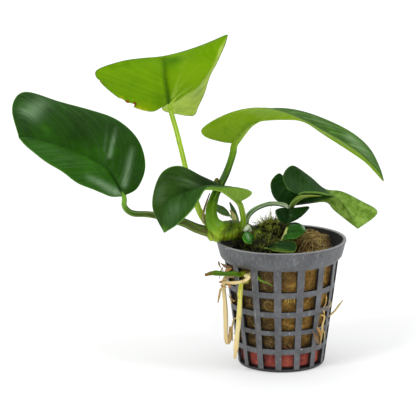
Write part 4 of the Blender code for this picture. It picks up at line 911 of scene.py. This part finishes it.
# Each stem: points on its axis with the radius there, ribs round it, and its colours from leaf to foot
stemShapes = {
    "left_petiole": {
        "route": ((-67.4, -6.6, 77.4, 0.4), (-65.6, -8.2, 74.6, 0.9), (-65.2, -8.8, 72.2, 1.1),
            (-65.3, -9, 70.2, 1.1), (-64, -9, 68, 1.2), (-61, -9, 66.5, 1.3), (-54, -9, 66, 1.3),
            (-42, -9, 63, 1.8), (-35.5, -8.5, 60, 2.0), (-30, -7.5, 58, 2.2)),
        "colours": ("5f9426", "6a9c2a", "76a832", "6a9c2c", "4c7418", "3f5c16", "43541a", "4f5a20",
            "5a6426", "6a6c2c"),
        "stripe": "8ab044", "dark": "2c4010", "ribs": 5,
    },
    "top_petiole": {
        "route": ((-43.2, 1.8, 113.4, 0.4), (-45.4, 2.8, 111.4, 0.9), (-46.2, 3.4, 109.5, 1.05),
            (-43.5, 2, 99.5, 1.05), (-41.5, 0, 91.5, 1.05), (-39, -1.5, 81, 1.15), (-35.5, -2.5, 69.5, 1.3),
            (-33, -3.5, 64, 1.5), (-28.5, -5, 58.8, 1.9)),
        "colours": ("b4dc2c", "c0e838", "acd42c", "b4dc34", "c0e43c", "c8e048"), "stripe": "f0fc9c",
        "dark": "5c8c14", "ribs": 4,
    },
    "arching_petiole": {
        "route": ((-8.5, 0, 103.8, 0.4), (-13, -1, 101.6, 0.9), (-17, -2, 97.2, 1.25),
            (-19.4, -2.2, 94, 1.35), (-20.2, -3, 90, 1.4), (-22.5, -4.5, 83.5, 1.45), (-25, -6, 78.5, 1.55),
            (-27.5, -7, 74, 1.75), (-29.2, -8, 68, 2.3), (-28.9, -8.2, 63.5, 2.7), (-27.6, -7.9, 60.6, 3.8),
            (-26.4, -7.2, 58.4, 3.6), (-22, -5.4, 57.8, 2.6)),
        # the two darkest stops in the middle are painted shadow, where the front blade shades the stalk
        "colours": ("a8cc44", "b0d050", "a8cc44", "92c028", "5c8c14", "2f5808", "1c4004", "5f8c14",
            "6c9c18", "82b420", "b4d438", "c8e840"),
        "stripe": "8cb82c", "dark": "2c4c04", "ribs": 5,
    },
    "front_petiole": {
        "route": ((-22, -12.8, 74.6, 0.5), (-19.2, -12, 72.6, 0.9), (-17.4, -11, 70.6, 1.15),
            (-16.5, -10.5, 67.5, 1.15), (-16, -9.5, 63.5, 1.2), (-16.5, -6.5, 59, 1.6)),
        "colours": ("86ac24", "84a81c", "6c9410"), "stripe": "c0d864", "dark": "3c5c08", "ribs": 4,
    },
    "folded_petiole": {
        "route": ((17, -2.3, 72, 0.08), (11.5, -1.8, 71.9, 0.5), (7.8, -0.4, 70.8, 0.95),
            (5.6, 1.4, 68.6, 1.15), (4.2, 3.6, 65.5, 1.1), (2.8, 5, 61, 1.1), (1.4, 4.4, 56, 1.1),
            (0.4, 2, 51, 1.2)),
        "colours": ("8a9c38", "6a8a30", "4c7424", "4c7424"), "stripe": "a8b860", "ribs": 4,
    },
    "dark_petiole": {
        "route": ((2.6, 1.2, 66.3, 0.95), (1.4, 1.8, 67.2, 0.95), (-2.5, 2.8, 67.7, 0.95),
            (-6.5, 2.6, 67.3, 0.95), (-11.5, 0, 65.6, 1.0), (-14.4, -2.6, 62.8, 1.1), (-15, -4, 59, 1.3)),
        "colours": ("a8b898", "8aa074", "6f8c56", "5f8448", "6a8a40"), "stripe": "dfe6d0", "ribs": 7,
    },
    "glossy_petiole": {
        "route": ((2.2, -3.6, 58.6, 0.4), (1.4, -4.8, 56.2, 0.7), (0.4, -4.7, 54, 0.75),
            (-1.3, -3, 51, 0.8)),
        "colours": ("c8cc6c", "d4d684", "b8b860"), "stripe": "eaeab0", "ribs": 3,
    },
    "rim_petiole": {
        "route": ((-6.2, -14.8, 52.8, 0.45), (-8.4, -13.8, 52.4, 0.5), (-9.8, -11, 52.2, 0.6),
            (-9.8, -5, 52.8, 0.7)),
        "colours": ("7fa040", "6f9438"), "stripe": "b0c470", "ribs": 3,
    },
    "back_petiole": {
        "route": ((-21.4, 6.3, 62.1, 0.5), (-20, 5.4, 61, 0.75), (-18.2, 3, 59.4, 0.85),
            (-17.6, -2, 58.0, 0.9)),
        "colours": ("8aa068", "7f9a58"), "stripe": "b4c494", "ribs": 3,
    },
    "young_spike": {
        "route": ((-21.5, 3, 68.5, 0.3), (-20.2, 2.6, 65.5, 0.9), (-19.2, 1.4, 62.8, 1.1),
            (-18.4, -1.5, 59, 1.3)),
        "colours": ("2a4a18", "345c20", "6f9434"), "stripe": "6f8c50", "ribs": 3,
    },
    "young_petiole": {
        "route": ((-15.4, -10.7, 59.5, 0.8), (-14.4, -8.6, 60.2, 1.2), (-13.8, -6, 58.6, 1.4),
            (-13.6, -4.5, 57, 1.5)),
        "colours": ("dfe8cc", "cfe0b0", "8fb860"), "stripe": "f4f8ea", "ribs": 3,
    },
    "dry_sheath": {
        "route": ((-21.4, -0.6, 66, 0.25), (-20.2, -1, 64, 0.7), (-19.6, -1.6, 62.6, 0.8),
            (-19.2, -3.4, 60, 0.9)),
        "colours": ("c8a850", "e8d890", "d8cc80"), "stripe": "f8f0c8", "dark": "a88838", "ribs": 5,
    },
    "sheath_stub": {
        "route": ((-26.8, -6.5, 80.9, 0.5), (-26.9, -6.8, 79.6, 1.15), (-27.3, -7, 77.6, 1.1)),
        "colours": ("6a5424", "4a5418", "4a6014"), "stripe": "8a8430", "dark": "2a2c0c", "ribs": 4,
    },
    "brown_membrane": {
        "route": ((-29.8, -5.1, 74.2, 0.2), (-31.2, -5.4, 70.4, 0.35), (-32.5, -6.1, 66, 0.5),
            (-32.3, -6.7, 61.8, 0.7)),
        "colours": ("8c6430", "b08c48", "d0c890"), "stripe": "e0d0a0", "dark": "7a5428", "ribs": 6,
    },
}
stemMake = {
    "rings": 70, "around": 28, "ribDepth": 0.06, "waver": 0.02, "rough": 0.35, "dryRough": 0.6,
    "dark": "2c4410", "flecks": "5c4420", "cloudSize": 3.85, "fleckSize": 1.43,
    "dry": ("dry_sheath", "sheath_stub", "brown_membrane"),
}


def stemSkin(name, colours, stripe, rough, dark):
    # Living stalk, grown: fleshy, smooth and satin, with long pale streaks that are also a painted sheen,
    # and a few brown flecks
    make = stemMake
    skin, add = newSkin(name)
    where = add("place")
    stops = [(i / max(len(colours) - 1, 1), colour) for i, colour in enumerate(colours)]
    cloudy = add("noise", where, size=make["cloudSize"], Detail=4)
    flecks = add("noise", where, size=make["fleckSize"], Detail=2)
    turn = add("number", attribute_name="around")
    streaks = add("sine", add("plus", add("times", turn, 5.0), add("times", cloudy, 5.0)))
    base = painted(add, add("ramp", add("number", attribute_name="along"), stops=stops),
                   # pale streaks round the stalk, which also stand in for its sheen as painted highlights
                   ((streaks, 0.3, 1.0, 0, 0.45), stripe),
                   ((cloudy, 0.45, 0.25, 0, 0.5), dark),
                   ((flecks, 0.68, 0.76, 0, 0.6), make["flecks"]))
    return finishSkin(skin, base, add("relief", Strength=0.4, Distance=0.2 * mm, Height=streaks), IOR=1.45,
                      Roughness=rough, **{"Specular IOR Level": 0.2})


def rhizomeSkin():
    # Living creeping stem, grown: a satin green rind with torn brown leaf scars, dark with moss to the right
    make = rhizomeMake
    skin, add = newSkin("rhizomeRind")
    where = add("place")
    cloudy = add("noise", where, size=make["cloudSize"], Detail=5)
    patches = add("noise", where, size=make["patchSize"], Detail=4)
    flecks = add("noise", where, size=make["fleckSize"], Detail=2)
    scar, right = add("number", attribute_name="scar"), add("height", where, read="X")
    torn = add("times", add("climb", scar, 0.25, 0.8), add("climb", patches, 0.4, 0.6, 0.1, 0.8))
    mossy = add("times", add("climb", right, -0.025, -0.014), add("climb", patches, 0.38, 0.56))
    base = painted(add, add("ramp", cloudy, stops=make["greens"]),
                   ((torn,), make["torn"]),
                   ((mossy,), make["mossy"]),
                   ((flecks, 0.64, 0.74, 0, 0.7), make["flecks"]))
    return finishSkin(skin, base, add("relief", Strength=0.6, Distance=0.4 * mm, Height=patches), IOR=1.45,
                      Roughness=0.42, **{"Specular IOR Level": 0.25})


def makeRhizome():
    # a thick tube whose radius dips at each leaf scar; the dip is a narrow cosine power along the path
    make = rhizomeMake
    count, around = make["rings"], make["around"]
    route = smoothPath(make["route"], count)
    along = np.linspace(0, 1, count)
    scars = np.abs(np.cos(math.pi * make["scars"] * (along + 0.02 * np.sin(along * 17))))
    scars = scars ** make["scarPower"]
    bumps = make["bump"] * wobble(fullTurn(around)[None], along[:, None] * 14, make["seed"])
    radii = route[:, 3:] - make["scarDepth"] * scars[:, None] + bumps
    fromEnd = np.clip(1 - np.minimum(along, 1 - along) / make["endRound"], 0, 1)
    radii = radii * np.sqrt(np.clip(1 - fromEnd**2, 0.02, 1))[:, None]
    makePiece("rhizomeStem", tubeRings(route[:, :3], radii, around), ringFaces(count, around),
              [rhizomeSkin()], ["rhizome"], {"scar": np.repeat(scars, around)})


makeRhizome()
for stemName, stem in stemShapes.items():
    isDry = stemName in stemMake["dry"]
    stemCover = stemSkin(titled(stemName) + "Skin", stem["colours"], stem["stripe"],
                         stemMake["dryRough" if isDry else "rough"], stem.get("dark", stemMake["dark"]))
    makeTube(titled(stemName), stem["route"], stemMake, stemCover, [stemName], stem["ribs"])
print("rhizome and stems made")

# Each root: where it leaves the wall, as an angle from the front and a height, and its points from there
rootShapes = {
    "green_shoot": {
        "start": (-45.5, 42.4), "radius": 1.0,
        "colours": ("a8b428", "6a8c14", "3c6408", "466c0a", "8a4a1c"), "stripe": "6c9418", "dark": "1c3404",
        "route": ((-19.5, -22, 43.9), (-24, -22.2, 44), (-28.5, -21, 44), (-32, -20, 43)),
    },
    "loop_root": {
        "start": (-37.2, 42.6), "radius": 0.65, "colours": ("e4d078", "f8e4a4", "f4dc98", "ecc880"),
        "route": ((-14, -23.6, 42.8), (-16.2, -24.6, 41.4), (-20.5, -23.4, 40.4), (-25, -19.8, 40)),
    },
    "long_root": {
        "start": (-42, 39.3), "radius": 1.0,
        "colours": ("b0bc24", "d0d430", "e4e050", "f4e480", "fce8a4", "f8dc98", "ecc880"),
        "route": ((-17.6, -21.4, 36.5), (-17.7, -20.6, 32.5), (-18, -19.8, 27), (-18.4, -19.2, 21.5),
            (-19, -18.7, 16), (-19.4, -18.3, 11), (-20, -18, 6.5)),
    },
    "hooked_root": {
        "start": (-66.4, 39.6), "radius": 0.95, "colours": ("ecd08c", "f8e0a4", "f0d498", "dcb870"),
        "route": ((-24.4, -12.6, 36.5), (-23.9, -13.6, 30), (-23.6, -13.6, 21.5), (-23.6, -13.4, 15.5),
            (-23, -13, 12.2), (-22, -12.4, 13.4), (-21.6, -12, 18.5)),
    },
    "short_root": {
        "start": (-62, 37.2), "radius": 0.45, "colours": ("e0d098", "d4b878", "a87c3c"),
        "route": ((-25.4, -10.4, 34.5), (-26.2, -10.6, 31.5), (-26.8, -10.6, 28.5)),
    },
    "thin_root": {
        "start": (-60, 21.8), "radius": 0.35, "colours": ("e0d098", "c8a868", "a0743c"),
        "route": ((-20.8, -12.9, 19.5), (-21, -13, 16), (-20.8, -12.9, 12.5)),
    },
    "straw_root": {
        "start": (78.2, 19.4), "rise": 3.2, "radius": 0.4, "colours": ("e0c070", "ecd48c", "dcb860"),
        "route": ((24, -3.8, 24.9), (25.9, -3, 27.1)),
    },
    "tendril_root": {
        "start": (-23.4, 41.8), "radius": 0.35, "colours": ("4f6c1c", "6a8c2c", "5f7a28"),
        "stripe": "8aa848", "dark": "2f4a10",
        "route": ((-10.4, -25, 43.2), (-9.6, -25.6, 42), (-6.8, -25.4, 40.8), (-4.4, -25.2, 39.6)),
    },
    "wall_root": {
        "start": (48.6, 23.6), "radius": 0.42, "colours": ("d4b060", "e4c478", "a8803c"),
        "route": ((16.6, -15.3, 19.6), (16.2, -14.8, 15), (15.6, -14.4, 10.5)),
    },
}
rootMake = {
    "inside": 1.9, "outside": 1.8,  # from the outer face of the wall
    "rings": 90, "around": 20, "ribs": 3, "ribDepth": 0.05, "waver": 0.06, "rough": 0.5, "tipPart": 0.5,
    "stripe": "f6eecb", "dark": "b8945c",
}


def makeRoot(name, shape):
    # a tube that starts inside the wall, crosses it square and then follows its points, thinner at its tip
    make = rootMake
    degrees, height = shape["start"]
    turn = math.radians(degrees) - math.pi / 2
    wall = wallRadius(height)
    starts = [((wall - make["inside"]), height), ((wall + make["outside"]), height + shape.get("rise", 0))]
    points = [(reach * math.cos(turn), reach * math.sin(turn), z) for reach, z in starts]
    route = [(*p, shape["radius"]) for p in (*points, *shape["route"])]
    route[-1] = (*route[-1][:3], shape["radius"] * make["tipPart"])
    skin = stemSkin(titled(name) + "Skin", shape["colours"], shape.get("stripe", make["stripe"]),
                    make["rough"], shape.get("dark", make["dark"]))
    makeTube(titled(name), route, make, skin, [name], make["ribs"])


for rootName, rootShape in rootShapes.items():
    makeRoot(rootName, rootShape)
print("roots made")

driedMake = {
    "steps": 10, "around": 8, "thin": 0.1, "twist": 2.4, "turnStep": 2.1, "tornSize": 1.43, "torn": "6a4420",
    "tones": ((0.0, "7a3c1c"), (0.15, "8a7450"), (0.35, "c08c48"), (0.65, "dcb468"), (1.0, "ecd460")),
    # each bit: its start and end, half its width, how far its middle bows out, its tone from rust to straw
    "bits": (
        ((-26.4, -14, 47.2), (-24.4, -15, 43.4), 0.5, 0.5, 0.25),
        ((-25.4, -13.5, 46.2), (-21.4, -17.2, 45.2), 0.7, 0.7, 0.1),
        ((-21, -18.6, 45.4), (-23.6, -15.8, 43.2), 0.75, 0.9, 0.3),
        ((-24.6, -13.6, 44.6), (-26, -12.6, 39.4), 0.35, 0.6, 0.45),
        ((-26.3, -14, 38.2), (-23.6, -16.4, 39.4), 0.55, 0.5, 0.25),
        ((-23.2, -16.4, 40.4), (-21.4, -17.4, 36.9), 0.7, 0.6, 0.35),
        ((-25.6, -14, 37.2), (-22.6, -16.6, 36.6), 0.4, 0.8, 0.5),
        ((-22.6, -15.4, 33.4), (-19.9, -18.2, 31.2), 0.35, 0.5, 0.2),
        ((-21.4, -16.6, 33.6), (-20.9, -17.2, 29.6), 0.3, 0.6, 0.75),
        ((-19.6, -18.4, 31.6), (-20.6, -17.2, 30.8), 0.3, 0.4, 0.3),
        ((-23.8, -13.2, 29.2), (-24.4, -13.4, 27), 0.45, 0.4, 0.4),
        ((-20.2, -16.2, 17.2), (-19, -17, 16.2), 0.4, 0.3, 0.15),
        ((12.2, -18.2, 18.4), (14.9, -15.7, 11.9), 0.9, 0.3, 0.12),
        ((14.4, -16.8, 19.4), (16.2, -14.4, 14.2), 0.6, 0.4, 0.4),
        ((18.2, -13.4, 32.2), (17.6, -14.2, 29.4), 0.3, 0.4, 0.85),
        ((18.6, -12.8, 31.2), (17, -14.2, 27), 0.25, 0.5, 0.6),
        ((16.8, -14.6, 26.4), (17.4, -13.6, 23.2), 0.35, 0.4, 0.7),
        ((19.4, -11.4, 29.6), (20.6, -9.8, 26.6), 0.25, 0.4, 0.9),
        ((20.4, -10, 27.4), (18.4, -12.6, 26.4), 0.22, 0.5, 0.8),
        ((17, -13.8, 17.6), (17.4, -13, 13), 0.3, 0.4, 0.8),
        ((1, -20.9, 34.3), (1.1, -21.5, 31.5), 0.2, 0.2, 0.9),
        ((2.1, -20.9, 34.3), (2.3, -21.5, 31.1), 0.18, 0.2, 0.85),
        ((3.3, -20.8, 34.3), (3.2, -21.4, 31.6), 0.2, 0.2, 0.9),
        ((4.5, -20.6, 34.3), (4.6, -21.2, 31.3), 0.18, 0.2, 0.85),
        ((-0.6, -18.9, 12.4), (2.6, -18.8, 10.4), 0.25, 0.3, 0.0),
        ((3.8, -18.6, 10.6), (2.2, -18.9, 12.6), 0.22, 0.3, 0.05),
    ),
}


def driedSkin():
    # Dead root skin and straw, dried on the wall: papery and matt, rust brown to straw with torn patches
    skin, add = newSkin("driedRootSkin")
    torn = add("noise", add("place"), size=driedMake["tornSize"], Detail=4)
    base = painted(add, add("ramp", add("number", attribute_name="tone"), stops=driedMake["tones"]),
                   ((torn, 0.52, 0.66, 0, 0.6), driedMake["torn"]))
    return finishSkin(skin, base, add("relief", Strength=0.6, Distance=0.3 * mm, Height=torn), Roughness=0.8)


def makeDriedBits():
    # Flat strips: each bows out by half a sine, turns about its own line as it runs, and its width is the
    # square root of a sine along it; a ring is a flat ellipse as wide as the strip
    make = driedMake
    start, end, half, bow, tone = (np.array([bit[i] for bit in make["bits"]], float) for i in range(5))
    run = np.linspace(0, 1, make["steps"])[None, :, None]
    away = unit((start + end) * (1, 1, 0))[:, None]
    paths = start[:, None] + (end - start)[:, None] * run + away * bow[:, None, None] * np.sin(math.pi * run)
    side = unit(np.cross(unit(np.gradient(paths, axis=1)), away))
    up = np.cross(unit(np.gradient(paths, axis=1)), side)
    twist = (run - 0.5) * make["twist"] * np.cos(np.arange(len(tone)) * make["turnStep"])[:, None, None]
    wide = (side * np.cos(twist) + up * np.sin(twist)) * half[:, None, None]
    wide = wide * np.sin(math.pi * (0.06 + 0.88 * run)) ** 0.5
    flat = (up * np.cos(twist) - side * np.sin(twist)) * make["thin"]
    rings = roundRings(paths, wide, flat, np.ones(1), make["around"])
    makePiece("driedBits", rings, ringFaces(make["steps"], make["around"], len(tone)), [driedSkin()],
              numbers={"tone": np.repeat(tone, make["steps"] * make["around"])})


makeDriedBits()
print("dried bits made")

mossMake = {
    "mounds": (((-3.6, 3.5, 46.8), (9.8, 11, 16.5)), ((-9, -10.5, 46.8), (11, 8, 8.5)),
               ((-16, -6.5, 47), (5.5, 6.5, 7.5))),
    "sprigs": (900, 560, 120), "steps": 6, "leaflets": 12, "length": (2.4, 6.0), "depth": (0.62, 0.8),
    "stemRadius": 0.13, "leafletLength": 0.9, "leafletWidth": 0.38, "spiral": 2.4,
    "bare": (-17.5, -15, 51), "bareReach": 8.0, "fromWall": 2.6, "rimTop": 55.0,
    "bedSize": 0.74, "bedAround": 64, "bedRings": 24, "bedSeed": 51, "seed": 41,
    "greens": ((0.0, "5c6410"), (0.3, "98a420"), (0.6, "d4e040"), (0.85, "f4fc78"), (1.0, "c89c3c")),
    # the next three colours are painted shade: deep in the moss, in the gaps between clumps and at its foot
    "depths": "1c1a08", "hidden": "141506", "foot": "16180a", "clumpSize": 3.03,
    # the peat colours are nearly black, partly old peat and partly painted shade under the sprigs
    "peat": ((0.4, "0c0b05"), (0.56, "1c1a0a"), (0.7, "4a3c1a")), "crumbSize": 1.61,
}


def mossSkin():
    # Living moss, grown: tiny soft leaves, yellow green at the tips, and painted nearly black as shade
    # towards the foot of each sprig, in the gaps between clumps and low down
    make = mossMake
    skin, add = newSkin("livingMoss")
    where = add("place")
    clumps = add("noise", where, size=make["clumpSize"], Detail=3)
    height = add("height", where)
    hidden = add("times", add("climb", clumps, 0.58, 0.47, 0, 0.95), add("climb", height, 0.0625, 0.059))
    base = painted(add, add("ramp", add("number", attribute_name="tone"), stops=make["greens"]),
                   # painted shade: towards the foot of each sprig, in the gaps between clumps and low down
                   ((add("number", attribute_name="tip"), 0.1, 0.8, 0.92, 0.0), make["depths"]),
                   ((hidden,), make["hidden"]),
                   ((height, 0.059, 0.053, 0, 0.55), make["foot"]))
    return finishSkin(skin, base, Roughness=0.6)


def mossBedSkin():
    # Old moss and peat under the living tips, rotted, with brown crumbs; painted nearly black as the shade
    # between the sprigs
    skin, add = newSkin("mossBed")
    crumbs = add("noise", add("place"), size=mossMake["crumbSize"], Detail=5)
    relief = add("relief", Strength=1.0, Distance=0.6 * mm, Height=crumbs)
    return finishSkin(skin, add("ramp", crumbs, stops=mossMake["peat"]), relief, Roughness=0.85)


def makeMossBed():
    # half balls scaled to the mounds, their radius pushed in and out by a sum of sines, with a flat foot
    around, rings = mossMake["bedAround"], mossMake["bedRings"]
    rise = np.linspace(0, 1, rings)[:, None]
    turn = fullTurn(around)[None]
    ball = turnedPoints(np.cos(rise * math.pi / 2 * 0.995), np.sin(rise * math.pi / 2), turn)
    points, faces = [], []
    for mound, (centre, size) in enumerate(mossMake["mounds"]):
        push = mossMake["bedSize"] * (1 + 0.09 * wobble(turn * 3, rise * 9, mossMake["bedSeed"] + mound))
        points.append((np.array(centre) + ball * size * push[..., None]).reshape(-1, 3))
        points[-1][:around, 2] = centre[2]
        faces += [face + mound * rings * around for face in ringFaces(rings, around)]
    makePiece("mossBed", np.concatenate(points), faces, [mossBedSkin()])


def makeMoss():
    # Each sprig starts on a mound, leans outwards and bends; its leaflets are thin closed slivers in a
    # spiral round it. Points of the mounds come from even random directions on the half ball.
    make = mossMake
    draws = np.random.default_rng(make["seed"])
    foot, out = [], []
    for (centre, size), count in zip(make["mounds"], make["sprigs"]):
        turn = draws.random(count) * 2 * math.pi
        rise = draws.random(count) ** 0.8
        ball = turnedPoints(np.sqrt(1 - rise**2), rise, turn)
        foot.append(np.array(centre) + ball * size * draws.uniform(*make["depth"], count)[:, None])
        out.append(unit(ball / np.array(size)))
    foot, out = np.concatenate(foot), np.concatenate(out)
    bare = np.linalg.norm(foot - np.array(make["bare"]), axis=1) / make["bareReach"]
    kept = draws.random(len(foot)) < np.clip(bare**2, 0.25, 1)  # sparse over the damp soil at the front left
    foot, out = foot[kept], out[kept]
    count, steps = len(foot), make["steps"]
    heading = unit(out + draws.normal(0, 0.55, (count, 3)) + np.array((0, 0, 0.15)))
    bend = draws.normal(0, 0.5, (count, 3)) - np.array((0, 0, 0.2))
    length = draws.uniform(*make["length"], count)[:, None, None]
    run = np.linspace(0, 1, steps)[None, :, None]
    paths = foot[:, None] + length * (heading[:, None] * run + bend[:, None] * run**2 * 0.6)
    inWall = wallRadius(paths[..., 2]) - make["fromWall"]
    turnedIn = np.minimum(1, inWall / np.hypot(paths[..., 0], paths[..., 1]))
    paths[..., :2] *= np.where(paths[..., 2] < make["rimTop"], turnedIn, 1)[..., None]
    ahead = unit(np.gradient(paths, axis=1))
    side = unit(np.cross(ahead, unit(draws.normal(0, 1, (count, 1, 3)))))
    up = np.cross(side, ahead)
    stems = roundRings(paths, side, -up, make["stemRadius"] * (1 - 0.7 * run), 3)
    # leaflets: a sliver has its foot on the stem, two shoulders and a tip lifted off their plane
    many = make["leaflets"]
    place = np.linspace(0.12, 0.98, many)
    index = np.minimum((place * (steps - 1)).astype(int), steps - 2)
    part = (place * (steps - 1) - index)[None, :, None]
    at = paths[:, index] * (1 - part) + paths[:, index + 1] * part
    spiral = (np.arange(many) * make["spiral"])[None, :, None] + draws.random((count, 1, 1)) * 6.28
    outward = side[:, index] * np.cos(spiral) + up[:, index] * np.sin(spiral)
    reach = unit(outward + 0.9 * ahead[:, index])
    sideways = unit(np.cross(reach, outward + 0.01))
    size = draws.uniform(0.7, 1.25, (count, many, 1)) * (1.1 - 0.5 * place)[None, :, None]
    middle = at + reach * make["leafletLength"] * size * 0.45 + np.cross(sideways, reach) * 0.08
    halfWide = sideways * make["leafletWidth"] * size * 0.5
    tip = at + reach * make["leafletLength"] * size
    sliver = np.stack([at, middle + halfWide, middle - halfWide, tip], 2)
    stemPoints, leafPoints = stems.reshape(-1, 3), sliver.reshape(-1, 3)
    corner = np.array([(0, 1, 2), (1, 3, 2), (0, 3, 1), (0, 2, 3)])
    start = len(stemPoints) + np.arange(count * many)[:, None, None] * 4
    faces = [*ringFaces(steps, 3, count), (corner[None] + start).reshape(-1, 3)]
    own = draws.beta(2.0, 1.8, count)
    tips = [np.tile(np.repeat(run, 3), count), np.tile(np.repeat(place, 4), count)]
    numbers = {"tone": np.concatenate([np.repeat(own, steps * 3), np.repeat(own, many * 4)]),
               "tip": np.concatenate(tips)}
    makePiece("mossTuft", np.concatenate([stemPoints, leafPoints]), faces, [mossSkin()], ["moss"],
              numbers)


makeMossBed()
makeMoss()
print("moss made")
